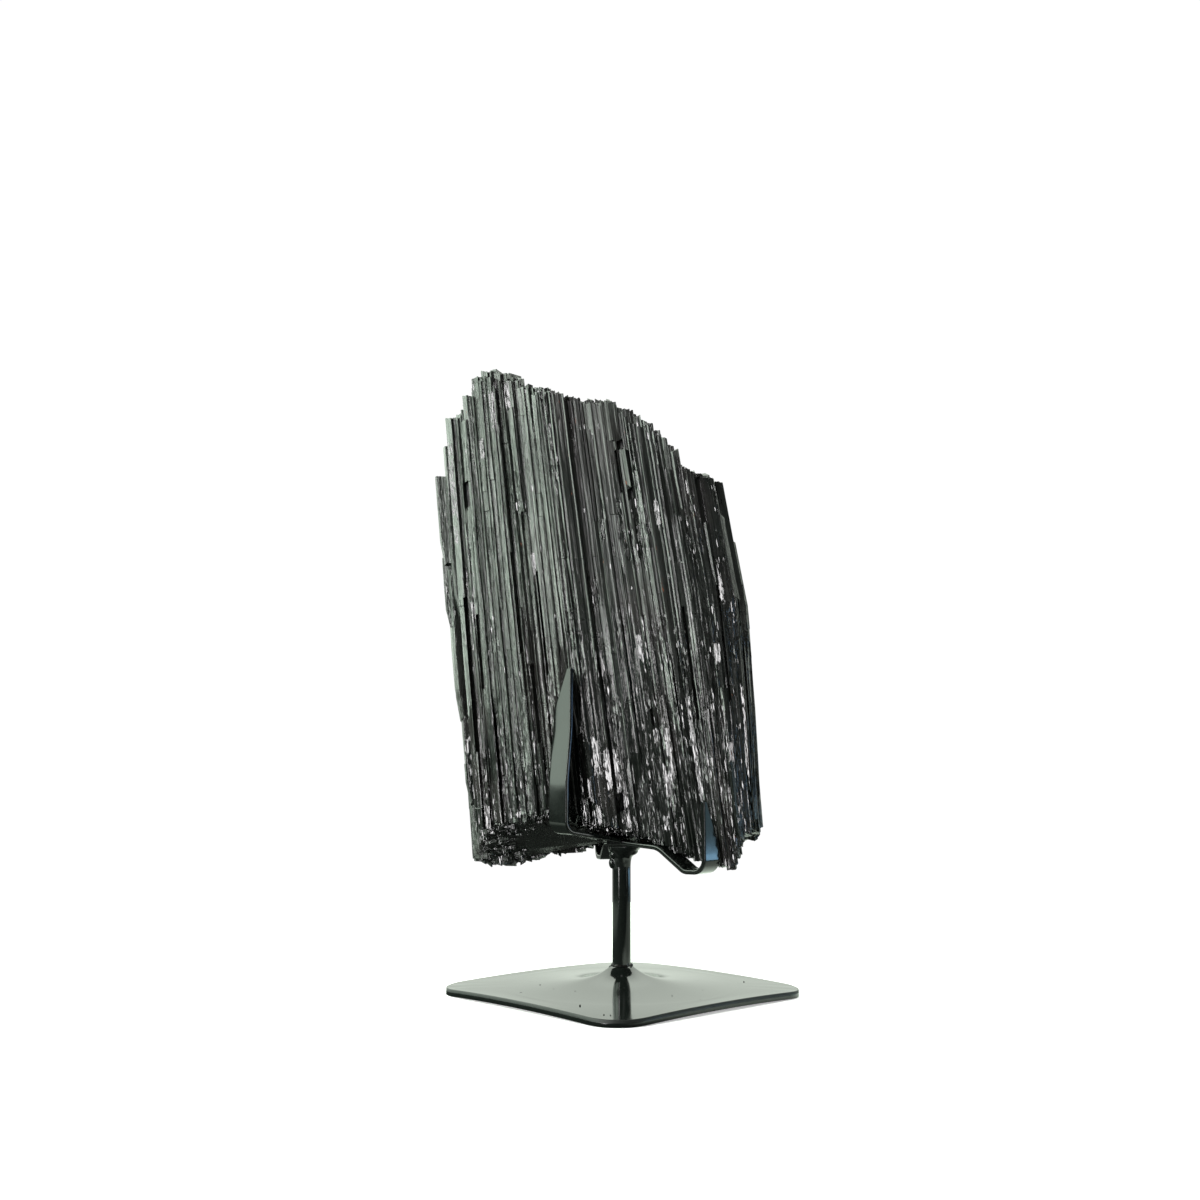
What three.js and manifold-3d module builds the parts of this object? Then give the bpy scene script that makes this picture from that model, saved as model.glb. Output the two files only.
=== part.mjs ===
// Black tourmaline held up by a three-armed steel display stand.
// Millimetres, +Z up. The origin is the middle of the base plate's flat underside, under the rod.
// -Y is the front of the stand, +X its right-hand side.
import * as THREE from 'three';
import { mergeVertices } from 'three/addons/utils/BufferGeometryUtils.js';
import Module from 'manifold-3d';

const wasm = await Module();
wasm.setup();

// Base plate: a square with round corners that point along X and Y
const PLATE_SIDE = 120;
const PLATE_CORNER_RADIUS = 17;
const PLATE_THICKNESS = 3.1;
const PLATE_EDGE_RISE = 1.05;
const PLATE_EDGE_BEVEL = 0.45;
const CORNER_STEPS = 6;
const EDGE_STEPS = 5;
const FOOT_RADIUS = 5.6;
const FOOT_HEIGHT = 9.4;
const FLARE_LENGTH = 11.5;
const FLARE_RINGS = [44, 30, 20, 13.5, 9, 7];

// Rod and its weld beads
const ROD_RADIUS = 4.1;
const ROD_TOP = 64.4;
const ROD_SIDES = 24;
const JOIN_GAP = 0.3;

// Arms: flat bar, bent in one upright plane each
const BAR_WIDTH = 12;
const BAR_THICKNESS = 2;
const HUB_HEIGHT = 66.4;
const BEND_STEPS = 5;

// Crystal: upright columns that fan out a little towards the bottom
const LEAN_MIDDLE = 0.135;
const LEAN_SPREAD = 0.0006;
const LEAN_HEIGHT = 165;
const STONE_FRONT = -16;
const STONE_BACK = 30;
const BREAK_ROUGHNESS = 3.2;
const SLOT_DEPTH = 7;
const SEED = 7;

const RIGHT_ANGLE = Math.PI / 2;
const radians = THREE.MathUtils.degToRad;

// ---------------------------------------------------------------- helpers

function seededRandom(seed) {
  let state = seed;
  return () => {
    state = (state * 1664525 + 1013904223) % 4294967296;
    return state / 4294967296;
  };
}

// Value of a broken line, given as [position, value] points in rising order
function along(points, position) {
  if (position <= points[0][0]) return points[0][1];
  for (let i = 1; i < points.length; i += 1) {
    const [x0, v0] = points[i - 1];
    const [x1, v1] = points[i];
    if (position <= x1) return v0 + ((v1 - v0) * (position - x0)) / (x1 - x0);
  }
  return points[points.length - 1][1];
}

function meshGeometry(positions, faces) {
  const geometry = new THREE.BufferGeometry();
  geometry.setAttribute('position', new THREE.Float32BufferAttribute(positions.flat(), 3));
  geometry.setIndex(faces.flat());
  return geometry;
}

function toSolid(geometry) {
  const bare = geometry.clone();
  bare.deleteAttribute('normal');
  bare.deleteAttribute('uv');
  const merged = mergeVertices(bare, 1e-4);
  return new wasm.Manifold(new wasm.Mesh({
    numProp: 3,
    vertProperties: new Float32Array(merged.attributes.position.array),
    triVerts: new Uint32Array(merged.index.array),
  }));
}

function toGeometry(solid) {
  const mesh = solid.getMesh();
  const geometry = new THREE.BufferGeometry();
  geometry.setAttribute('position', new THREE.BufferAttribute(mesh.vertProperties, 3));
  geometry.setIndex(new THREE.BufferAttribute(mesh.triVerts, 1));
  const faceted = geometry.toNonIndexed();
  faceted.computeVertexNormals();
  return faceted;
}

// Closed body through rings of equal point count, from the lowest ring to the highest,
// each ring anticlockwise seen from above
function ringedBody(rings) {
  const count = rings[0].length;
  const positions = rings.flat();
  const faces = [];
  for (let r = 0; r + 1 < rings.length; r += 1) {
    for (let i = 0; i < count; i += 1) {
      const a = r * count + i;
      const b = r * count + ((i + 1) % count);
      faces.push([a, b, b + count], [a, b + count, a + count]);
    }
  }
  for (const [ring, first] of [[rings[0], 0], [rings[rings.length - 1], (rings.length - 1) * count]]) {
    const middle = [0, 1, 2].map((k) => ring.reduce((sum, p) => sum + p[k], 0) / count);
    const centre = positions.push(middle) - 1;
    for (let i = 0; i < count; i += 1) {
      const a = first + i;
      const b = first + ((i + 1) % count);
      faces.push(first === 0 ? [centre, b, a] : [centre, a, b]);
    }
  }
  return meshGeometry(positions, faces);
}

// ---------------------------------------------------------------- base plate

function plateOutline() {
  const points = [];
  const half = PLATE_SIDE / 2 - PLATE_CORNER_RADIUS;
  for (let corner = 0; corner < 4; corner += 1) {
    const turn = corner * RIGHT_ANGLE;
    for (let step = 0; step <= CORNER_STEPS; step += 1) {
      const angle = (step / CORNER_STEPS) * RIGHT_ANGLE;
      points.push(turned(
        half + PLATE_CORNER_RADIUS * Math.cos(angle),
        half + PLATE_CORNER_RADIUS * Math.sin(angle),
        turn,
      ));
    }
    for (let step = 1; step < EDGE_STEPS; step += 1) {
      points.push(turned(half - (2 * half * step) / EDGE_STEPS, PLATE_SIDE / 2, turn));
    }
  }
  return points;
}

function turned(x, y, angle) {
  return [x * Math.cos(angle) - y * Math.sin(angle), x * Math.sin(angle) + y * Math.cos(angle)];
}

// The plate's edges stand a little higher at their middles than at the corners
function edgeRise([x, y]) {
  const fromMiddle = Math.min(Math.abs(x), Math.abs(y)) / (PLATE_SIDE / 2) / 0.85;
  return PLATE_EDGE_RISE * Math.max(0, 1 - fromMiddle * fromMiddle);
}

function flare(radius) {
  const height = FOOT_HEIGHT - PLATE_THICKNESS - PLATE_EDGE_RISE;
  return height * Math.exp((FOOT_RADIUS - radius) / FLARE_LENGTH);
}

function basePlate() {
  const outline = plateOutline();
  const scaled = (scale, height) => outline.map((p) => [p[0] * scale, p[1] * scale, height(p)]);
  const bevel = PLATE_EDGE_BEVEL / (PLATE_SIDE / 2);
  const rings = [
    scaled(0.72, () => 0),
    scaled(1 - bevel, edgeRise),
    scaled(1, (p) => edgeRise(p) + PLATE_EDGE_BEVEL),
    scaled(1, (p) => edgeRise(p) + PLATE_THICKNESS - PLATE_EDGE_BEVEL),
    scaled(1 - bevel, (p) => edgeRise(p) + PLATE_THICKNESS),
    scaled(0.88, (p) => 0.5 * (edgeRise(p) + PLATE_EDGE_RISE) + PLATE_THICKNESS),
  ];
  for (const radius of [...FLARE_RINGS, FOOT_RADIUS]) {
    rings.push(outline.map(([x, y]) => {
      const scale = radius / Math.hypot(x, y);
      return [x * scale, y * scale, PLATE_THICKNESS + PLATE_EDGE_RISE + flare(radius)];
    }));
  }
  const geometry = ringedBody(rings);
  geometry.rotateZ(radians(45));
  return geometry;
}

// ---------------------------------------------------------------- arms

// Centre line of a bent bar: corner points [reach, height, bend radius] with round bends
function bentLine(corners) {
  const line = [new THREE.Vector2(corners[0][0], corners[0][1])];
  for (let i = 1; i + 1 < corners.length; i += 1) {
    const [before, here, after] = [corners[i - 1], corners[i], corners[i + 1]]
      .map(([reach, height]) => new THREE.Vector2(reach, height));
    const incoming = here.clone().sub(before).normalize();
    const outgoing = after.clone().sub(here).normalize();
    const turn = Math.acos(THREE.MathUtils.clamp(incoming.dot(outgoing), -1, 1));
    const side = Math.sign(incoming.cross(outgoing));
    const setback = corners[i][2] * Math.tan(turn / 2);
    const start = here.clone().addScaledVector(incoming, -setback);
    const inward = new THREE.Vector2(-incoming.y, incoming.x).multiplyScalar(side * corners[i][2]);
    const centre = start.clone().add(inward);
    const steps = Math.max(2, Math.round((BEND_STEPS * turn) / RIGHT_ANGLE));
    for (let step = 0; step <= steps; step += 1) {
      line.push(start.clone().rotateAround(centre, (side * turn * step) / steps));
    }
  }
  const last = corners[corners.length - 1];
  line.push(new THREE.Vector2(last[0], last[1]));
  return line;
}

function barProfile(line, thickness) {
  const left = [];
  const right = [];
  line.forEach((point, i) => {
    const before = line[Math.max(i - 1, 0)];
    const after = line[Math.min(i + 1, line.length - 1)];
    const direction = after.clone().sub(before).normalize();
    const offset = new THREE.Vector2(-direction.y, direction.x).multiplyScalar(thickness / 2);
    left.push(point.clone().add(offset));
    right.unshift(point.clone().sub(offset));
  });
  return new THREE.Shape([...right, ...left].reverse());
}

// Puts a shape drawn as (reach, height), extruded across the bar, into the arm's upright plane
function uprightPlane(heading) {
  const angle = radians(heading);
  const reach = new THREE.Vector3(Math.cos(angle), Math.sin(angle), 0);
  const across = new THREE.Vector3(Math.sin(angle), -Math.cos(angle), 0);
  return new THREE.Matrix4().makeBasis(reach, new THREE.Vector3(0, 0, 1), across);
}

function extrudedBar(arm, width, thickness) {
  const shape = barProfile(bentLine(arm.corners), thickness);
  const geometry = new THREE.ExtrudeGeometry(shape, { depth: width, bevelEnabled: false });
  geometry.translate(0, 0, -width / 2);
  geometry.applyMatrix4(uprightPlane(arm.heading));
  return toSolid(geometry);
}

// Prism over the pointed outline of one edge of the bar's end, given as [across, height] points
function tipCutter(arm) {
  const shape = new THREE.Shape(arm.tipCut.map(([across, height]) => new THREE.Vector2(across, height)));
  const length = 24;
  const geometry = new THREE.ExtrudeGeometry(shape, { depth: length, bevelEnabled: false });
  const angle = radians(arm.heading);
  const across = new THREE.Vector3(Math.sin(angle), -Math.cos(angle), 0);
  const inward = new THREE.Vector3(-Math.cos(angle), -Math.sin(angle), 0);
  const up = new THREE.Vector3(0, 0, 1);
  const start = arm.corners[arm.corners.length - 1][0] + length / 2;
  const placed = new THREE.Matrix4().makeBasis(across, up, inward);
  placed.setPosition(Math.cos(angle) * start, Math.sin(angle) * start, 0);
  geometry.applyMatrix4(placed);
  return toSolid(geometry);
}

// The three bars meet over the rod, each mitred to the sector that it lies in
function hubSector(from, to) {
  const reach = 150;
  const middle = radians((from + to) / 2);
  const back = (JOIN_GAP / 2) / Math.sin(radians((to - from) / 2));
  const apex = new THREE.Vector2(Math.cos(middle) * back, Math.sin(middle) * back);
  const outer = [from, (from + to) / 2, to].map((heading) => new THREE.Vector2(
    apex.x + reach * Math.cos(radians(heading)),
    apex.y + reach * Math.sin(radians(heading)),
  ));
  const shape = new THREE.Shape([apex, ...outer]);
  return toSolid(new THREE.ExtrudeGeometry(shape, { depth: 220, bevelEnabled: false }));
}

const ARMS = {
  arm_front_left: {
    heading: 218.4,
    sector: [160.5, 272.2],
    corners: [[0, HUB_HEIGHT], [33.9, 71.9, 5.2], [33.9, 94, 60], [31.9, 116, 60], [31.8, 142.2]],
    tipCut: [[6.1, 118], [9, 118], [9, 150], [-3.2, 150], [-3.2, 142.2], [4.6, 126]],
  },
  arm_front_right: {
    heading: -33.9,
    sector: [-87.8, 34.35],
    corners: [[0, HUB_HEIGHT], [23, 64.6, 9], [36.5, 54.9, 5], [46.7, 55, 5.2], [46.7, 84.5]],
    tipCut: [[-6.1, 66], [4.4, 84.5], [4.4, 92], [-9, 92], [-9, 66]],
  },
  arm_back: {
    heading: 102.6,
    sector: [34.35, 160.5],
    corners: [[0, HUB_HEIGHT], [11, 65.8, 7], [20.5, 58.2, 5], [33.5, 57.8, 5.2], [33.5, 118]],
    tipCut: [[6.1, 104], [9, 104], [9, 126], [-2, 126], [-2, 118], [4.6, 108]],
  },
};

function armSolid(arm) {
  return extrudedBar(arm, BAR_WIDTH, BAR_THICKNESS)
    .intersect(hubSector(...arm.sector))
    .subtract(tipCutter(arm));
}

function armClearance(arm) {
  return extrudedBar(arm, BAR_WIDTH + 2 * JOIN_GAP, BAR_THICKNESS + 2 * JOIN_GAP);
}

// ---------------------------------------------------------------- rod

function weldDrop(x, y, z, radius, squash) {
  const geometry = new THREE.IcosahedronGeometry(radius, 1);
  geometry.scale(1, 1, squash);
  geometry.rotateX(0.4);
  geometry.translate(x, y, z);
  return toSolid(geometry);
}

function rod() {
  const foot = FOOT_HEIGHT + JOIN_GAP;
  const profile = [
    [0, foot],
    [ROD_RADIUS + 1, foot],
    [ROD_RADIUS + 0.8, foot + 0.9],
    [ROD_RADIUS, foot + 2],
    [ROD_RADIUS, ROD_TOP - 9],
    [ROD_RADIUS + 0.5, ROD_TOP - 5],
    [ROD_RADIUS + 1.9, ROD_TOP - 1.5],
    [ROD_RADIUS + 2.1, ROD_TOP],
    [0, ROD_TOP],
  ].map(([radius, height]) => new THREE.Vector2(radius, height));
  const lathe = new THREE.LatheGeometry(profile, ROD_SIDES);
  lathe.rotateX(RIGHT_ANGLE);
  let solid = toSolid(lathe);
  const drops = [
    [-3.9, -1.5, ROD_TOP - 7.4, 1.7, 1.5],
    [-3.4, -2.2, ROD_TOP - 3.6, 1.9, 1],
    [2.9, -3.2, ROD_TOP - 2.4, 2, 0.9],
    [5.4, -2.2, ROD_TOP - 1.9, 2.5, 0.8],
    [0.2, 4.4, ROD_TOP - 2.8, 2.1, 1],
    [-4.6, -1.8, foot + 1, 1.5, 0.7],
  ];
  for (const drop of drops) solid = solid.add(weldDrop(...drop));
  const floor = new THREE.BoxGeometry(40, 40, 10).translate(0, 0, foot - 5);
  solid = solid.subtract(toSolid(floor));
  for (const arm of Object.values(ARMS)) solid = solid.subtract(armClearance(arm));
  return toGeometry(largest(solid));
}

function largest(solid) {
  return solid.decompose().reduce((best, piece) => (piece.volume() > best.volume() ? piece : best));
}

// ---------------------------------------------------------------- crystal

// Outline of the crystal seen from above at LEAN_HEIGHT, as [across, depth], anticlockwise from the left
const SECTION = [
  [-78, 18], [-73.5, 4], [-66, -10], [-51, -14.2], [-36, -14.4], [-17, -18.8], [-15.5, -14],
  [0, -15], [14, -17.5], [28, -19.5], [42, -20], [54, -12], [60, 1], [59, 15], [46, 25.5],
  [31, 24.5], [13, 31], [-3, 28], [-21, 32], [-47, 28.5], [-70, 28],
];

// Heights of the column ends from left to right, at the crystal's front
const CROWN = [
  [-82, 231], [-76.5, 233], [-75, 250], [-69.5, 256.5], [-61, 265.5], [-58, 277], [-50, 278],
  [-46, 272], [-38, 275], [-26, 271.5], [-16, 267], [1, 265], [12, 263.5], [20, 259],
  [29, 250.5], [34, 242], [36, 232.5], [45, 229.5], [60, 226.5],
];

// The right-hand side draws in below the middle: how far it reaches at each height
const RIGHT_REACH = [[60, 46.5], [76, 47.5], [97, 50], [120, 53], [146, 56], [172, 59], [234, 59]];
const RIGHT_START = 20;

// The broken lower end: its heights along the front edge and along the back edge
const BREAK_FRONT = [
  [-70, 77], [-55, 75.5], [-31, 78.5], [-13, 73.5], [0, 71.8], [9, 69.5], [17, 66],
  [30, 59.5], [44, 55], [53, 56.5], [57, 63], [60, 68], [64, 71],
];
const BREAK_BACK = [
  [-68, 56.5], [-57, 54.5], [-48, 56.8], [-26, 60], [-14, 62.2], [0, 66.5], [20, 66], [60, 65],
];

// Columns that stand out: [across, depth, width, thick, turn in degrees, lower end, upper end].
// A lower end of 0 lies on the break.
const PROUD_COLUMNS = [
  [-80.5, 8, 5, 7, 20, 186, 231],
  [-77.2, 9, 5.5, 8, 50, 84, 192],
  [-75.6, 19, 6, 8, 45, 0, 88],
  [-74.5, 4, 6, 7, 10, 168, 252],
  [-68, -7.5, 7, 6, 35, 0, 258],
  [-59.5, -10, 6, 7, 12, 120, 276],
  [-53, -11.5, 6, 6, 40, 0, 279],
  [-47, -3, 9, 8, 15, 200, 284],
  [-40.5, 2, 7, 8, 45, 210, 283],
  [-41, -11.8, 6, 6, 25, 150, 280],
  [-30, -12.5, 9, 8, 5, 118, 273],
  [-21, -15, 9, 8, 8, 96, 269],
  [4, -12, 10, 8, 22, 0, 265],
  [10.5, -15.5, 6.5, 7, 3, 246, 264],
  [15, -14, 7, 8, 30, 70, 226],
  [24, -16, 7, 8, 18, 0, 256],
  [33, -17, 8, 7, 40, 66, 190],
  [40, -16, 6, 8, 10, 0, 234],
  [49, -12, 7, 8, 33, 90, 231],
  [56.5, -3, 7, 7, 20, 150, 228],
  [57, 5, 6, 9, 44, 72, 204],
  [-10, -13, 8, 6, 12, 0, 266],
  [-3, -13.5, 6, 6, 30, 92, 210],
  [37, 20, 10, 8, 15, 0, 214],
  [21, 24.5, 7, 7, 40, 138, 256],
  [6, 27, 8, 7, 30, 88, 262],
  [-13, 27, 7, 7, 10, 128, 268],
  [-34, 26.5, 9, 8, 25, 0, 238],
  [-58, 25.5, 8, 7, 12, 95, 202],
];

// Slots between columns where a piece of one has come away: [across, depth, width, lower, upper]
const SLOTS = [
  [-69.5, -8.5, 2.4, 106, 176],
  [-45.5, -15, 2.6, 150, 196],
  [-37, -15, 2.2, 118, 143],
  [11.5, -17.5, 4, 234, 246],
  [-2, -15.5, 7, 84, 99],
  [29, -19.5, 2.4, 120, 170],
  [46.5, -17.5, 2.6, 128, 188],
  [-14.5, -14.5, 2.4, 180, 262],
  [18, 29, 3, 110, 190],
  [-41, 30, 3, 120, 230],
];

// From (across, depth, height) to the crystal's place in space: it leans and fans out downwards
function leaning(across, depth, height) {
  const slope = LEAN_MIDDLE + LEAN_SPREAD * across;
  const reach = (along(RIGHT_REACH, height) - RIGHT_START) / (60 - RIGHT_START);
  const drawn = across > RIGHT_START ? RIGHT_START + (across - RIGHT_START) * reach : across;
  return [drawn - slope * (height - LEAN_HEIGHT), depth, height];
}

function breakHeight(x, depth) {
  const share = THREE.MathUtils.clamp((depth - STONE_FRONT) / (STONE_BACK - 8 - STONE_FRONT), 0, 1.2);
  return along(BREAK_FRONT, x) * (1 - share) + along(BREAK_BACK, x) * share;
}

function crownHeight(across, depth) {
  return along(CROWN, across) + 0.1 * (depth - STONE_FRONT);
}

// One column: a prism with an irregular section, a sloping end and a lower end on the break
// unless a height is given. across, depth: its middle. turn: the way its faces look.
function column({ across, depth, width, thick, turn, top, bottom = 0, slopeX, slopeY, sides, random }) {
  const section = [];
  const swell = 1 / Math.cos(Math.PI / sides);
  for (let i = 0; i < sides; i += 1) {
    const angle = turn + ((i + 0.3 * (random() - 0.5)) * 2 * Math.PI) / sides;
    section.push([
      across + (width / 2) * swell * Math.cos(angle),
      depth + (thick / 2) * swell * Math.sin(angle),
    ]);
  }
  const raised = BREAK_ROUGHNESS * (random() - 0.3);
  const endHeight = (u, y) => top + slopeX * (u - across) + slopeY * (y - depth);
  const startHeight = (u, y) => {
    if (bottom > 0) return bottom + 0.8 * slopeX * (across - u);
    return breakHeight(leaning(u, y, 66)[0], y) + raised;
  };
  const rings = [section.map(([u, y]) => leaning(u, y, startHeight(u, y)))];
  if (across > 35 && rings[0][0][2] < LEAN_HEIGHT - 20 && top > LEAN_HEIGHT + 20) {
    rings.push(section.map(([u, y]) => leaning(u, y, LEAN_HEIGHT)));
  }
  rings.push(section.map(([u, y]) => leaning(u, y, endHeight(u, y))));
  return toSolid(ringedBody(rings));
}

// The sound inside of the crystal, which the outer columns grow on
function heart() {
  const middle = [-9, 7];
  const inset = 0.88;
  const sunk = 8;
  const ring = (heightAt) => SECTION.map(([u, y]) => {
    const across = middle[0] + (u - middle[0]) * inset;
    const depth = middle[1] + (y - middle[1]) * inset;
    return leaning(across, depth, heightAt(across, depth));
  });
  const lower = ring((across, depth) => breakHeight(leaning(across, depth, 66)[0], depth) + 2);
  const upper = ring((across, depth) => crownHeight(across, depth) - sunk);
  return toSolid(ringedBody([lower, ring(() => LEAN_HEIGHT), upper]));
}

// Points at even spacing along the section outline, with the way out of the crystal at each
function outlineStations(spacing) {
  const stations = [];
  const closed = [...SECTION, SECTION[0]];
  let carried = spacing / 2;
  for (let i = 0; i + 1 < closed.length; i += 1) {
    const [x0, y0] = closed[i];
    const [x1, y1] = closed[i + 1];
    const length = Math.hypot(x1 - x0, y1 - y0);
    const out = [(y1 - y0) / length, -(x1 - x0) / length];
    while (carried < length) {
      const share = carried / length;
      stations.push({ at: [x0 + (x1 - x0) * share, y0 + (y1 - y0) * share], out });
      carried += spacing;
    }
    carried -= length;
  }
  return stations;
}

// Tapered prism that is wide at the crystal's face and narrow inside it
function slotCutter([across, depth, width, lower, upper]) {
  const inside = depth < 0 ? 1 : -1;
  const narrow = 0.6;
  const section = [[-1, -inside], [1, -inside], [narrow, inside], [-narrow, inside]].map(([u, y]) => [
    across + (u * width) / 2,
    depth + (y * SLOT_DEPTH) / 2,
  ]);
  if (inside < 0) section.reverse();
  const ring = (height) => section.map(([u, y]) => leaning(u, y, height + 0.5 * (u - across)));
  return toSolid(ringedBody([ring(lower), ring(upper)]));
}

function tourmaline() {
  const random = seededRandom(SEED);
  const between = (low, high) => low + (high - low) * random();
  const columns = [heart()];
  for (const { at, out } of outlineStations(10)) {
    const width = between(10, 14);
    const inset = width / 2 + between(-0.9, 0.9);
    columns.push(column({
      across: at[0] - out[0] * inset,
      depth: at[1] - out[1] * inset,
      width,
      thick: between(7, 10),
      turn: between(0, Math.PI),
      top: crownHeight(at[0], at[1]) - between(-1, 3),
      slopeX: between(-0.4, 0.4),
      slopeY: between(-0.2, 0.5),
      sides: 6,
      random,
    }));
  }
  for (const [across, depth, width, thick, turn, bottom, top] of PROUD_COLUMNS) {
    columns.push(column({
      across,
      depth,
      width,
      thick,
      turn: radians(turn),
      bottom,
      top,
      slopeX: between(-0.5, 0.5),
      slopeY: between(-0.2, 0.4),
      sides: 6,
      random,
    }));
  }
  for (let across = -60; across < 50; across += 15) {
    for (let depth = -3; depth < 22; depth += 12) {
      columns.push(column({
        across: across + between(-3, 3),
        depth: depth + between(-2, 2),
        width: between(12, 16),
        thick: between(10, 13),
        turn: between(0, Math.PI),
        top: crownHeight(across, depth) - between(0, 5),
        slopeX: between(-0.4, 0.4),
        slopeY: between(-0.2, 0.5),
        sides: 5,
        random,
      }));
    }
  }
  let solid = wasm.Manifold.union(columns);
  for (const slot of SLOTS) solid = solid.subtract(slotCutter(slot));
  for (const arm of Object.values(ARMS)) solid = solid.subtract(armClearance(arm));
  return toGeometry(largest(solid));
}

// ---------------------------------------------------------------- assembly

function finish(color, roughness, metalness) {
  return new THREE.MeshStandardMaterial({ color, roughness, metalness, flatShading: true });
}

const object = new THREE.Group();

function addPart(name, geometry, material) {
  const mesh = new THREE.Mesh(geometry, material);
  mesh.name = name;
  object.add(mesh);
}

addPart('base_plate', basePlate(), finish(0x0b0d0c, 0.08, 0));
addPart('rod', rod(), finish(0x0b0d0c, 0.15, 0));
for (const [name, arm] of Object.entries(ARMS)) {
  addPart(name, toGeometry(armSolid(arm)), finish(0x0b0d0c, 0.12, 0));
}
addPart('tourmaline', tourmaline(), finish(0x171b18, 0.35, 0));

export default object;
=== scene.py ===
"""Black tourmaline on a three-armed steel display stand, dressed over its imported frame.

Lengths in the tables below are millimetres; meshes are made in metres. -Y is the front, +X the right.
"""

import math

import bmesh
import bpy
import numpy as np
from mathutils import Matrix, Vector


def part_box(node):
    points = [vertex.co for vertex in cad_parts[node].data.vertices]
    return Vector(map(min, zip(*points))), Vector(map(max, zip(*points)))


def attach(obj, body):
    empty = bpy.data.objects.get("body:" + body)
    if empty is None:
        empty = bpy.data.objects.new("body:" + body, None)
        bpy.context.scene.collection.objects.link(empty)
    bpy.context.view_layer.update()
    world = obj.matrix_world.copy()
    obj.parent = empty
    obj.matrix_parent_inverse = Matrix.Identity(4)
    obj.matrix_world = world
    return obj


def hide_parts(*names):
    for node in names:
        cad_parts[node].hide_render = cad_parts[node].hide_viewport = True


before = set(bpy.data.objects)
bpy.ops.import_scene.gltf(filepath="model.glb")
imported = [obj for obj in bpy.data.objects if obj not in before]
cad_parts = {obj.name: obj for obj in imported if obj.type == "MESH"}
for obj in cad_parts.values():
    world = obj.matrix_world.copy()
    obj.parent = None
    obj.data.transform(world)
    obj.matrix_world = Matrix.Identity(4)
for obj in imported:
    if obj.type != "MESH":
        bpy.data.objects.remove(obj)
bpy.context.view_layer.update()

bl_info = {
    "name": "Black tourmaline on a stand",
    "version": (1, 0, 0),
    "blender": (4, 5, 0),
    "location": "View3D > Sidebar > Tourmaline",
    "description": "Builds a striated black tourmaline, its enamelled stand and a pale studio",
    "category": "Object",
}

MM = 0.001

# Each piece with chance in it draws from its own seed
STONE_SEED = 11
CRUMB_SEED = 9
ROD_SEED = 3
BEAD_SEED = 5

# ---------------------------------------------------------------- sizes and places

# Base plate: a square with round corners that point along X and Y. The middles of its edges rise
# over RISE_SHARE of their length, and its bevel is duller further out than BEVEL_REACH.
PLATE_SIDE = 120
PLATE_CORNER_RADIUS = 17
PLATE_THICKNESS = 3.1
PLATE_EDGE_RISE = 1.05
RISE_SHARE = 0.85
BEVEL_REACH = 45
FOOT_RADIUS = 5.6
FOOT_HEIGHT = 9.4

# The plate's top: its gentle dome, the flare up to the rod, and the rounding of its edge
DOME_RADIUS = 56
DOME_RISE = 3.2
DOME_SOFTNESS = 0.4
FLARE_LENGTH = 7
FLARE_LIP = 2.3
EDGE_ROUND = 0.3

# Rod and its weld drops, as [x, y, below the rod's top, radius, squash]
ROD_RADIUS = 4.1
ROD_TOP = 64.4
JOIN_GAP = 0.3
ROD_FOOT = FOOT_HEIGHT + JOIN_GAP
WELD_DROPS = [
    [-3.9, -1.5, 7.4, 1.7, 1.5],
    [-3.4, -2.2, 3.6, 1.9, 1.0],
    [2.9, -3.2, 2.4, 2.0, 0.9],
    [5.0, -2.2, 1.9, 2.5, 0.8],
    [0.2, 4.2, 2.8, 2.1, 1.0],
    [-4.4, -1.8, 53.7, 1.5, 0.7],
]

# Weld beads around the foot of the rod, as (height, reach, size)
FOOT_BEADS = [(11.5, 4.6, 0.75), (12.6, 4.2, 0.65)]

# Crumbs of stone on the plate, as (x, y, size)
CRUMBS = [(-15.4, -53.8, 0.38), (-5.2, -70.0, 0.27), (-2.6, -70.8, 0.24), (54.5, 9.9, 0.3),
          (-35.6, -6.4, 0.22), (21.8, -31.9, 0.2)]

# The web of weld under the right-hand arm
WEB_DEPTH = 7
WEB_REACH = 4.2
WEB_HEADING = math.radians(-34)

# Arms: flat bar bent in an upright plane. Centre-line corners are (reach, height, bend radius), tip
# is the outline of the cut edge as (height, across) points, and sector is what its mitre keeps.
BAR_WIDTH = 12
BAR_THICKNESS = 2
HUB_HEIGHT = 66.4
WEDGE_REACH = 150
WEDGE_HEIGHT = 220
ARMS = {
    "arm_front_left": {
        "heading": 218.4,
        "sector": (160.5, 272.2),
        "corners": [(0, HUB_HEIGHT), (33.9, 71.9, 5.2), (33.9, 94, 60), (31.9, 116, 60), (31.8, 142.2)],
        "cut_side": 1,
        "tip": [(118, 6), (126, 4.6), (142.2, -3.2)],
        "twist": -4.5,
    },
    "arm_front_right": {
        "heading": -33.9,
        "sector": (-87.8, 34.35),
        "corners": [(0, HUB_HEIGHT), (23, 64.6, 9), (36.5, 54.9, 5), (46.7, 55, 5.2), (46.7, 84.5)],
        "cut_side": -1,
        "tip": [(66, -6), (84.5, 4.4)],
    },
    "arm_back": {
        "heading": 102.6,
        "sector": (34.35, 160.5),
        "corners": [(0, HUB_HEIGHT), (11, 65.8, 7), (20.5, 58.2, 5), (33.5, 57.8, 5.2), (33.5, 118)],
        "cut_side": 1,
        "tip": [(104, 6), (108, 4.6), (118, -2)],
    },
}

# Stone: upright columns that lean and fan out a little towards the bottom
LEAN_MIDDLE = 0.135
LEAN_SPREAD = 0.0006
LEAN_HEIGHT = 165
STONE_FRONT = -16
BREAK_BACK_DEPTH = 22

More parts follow.
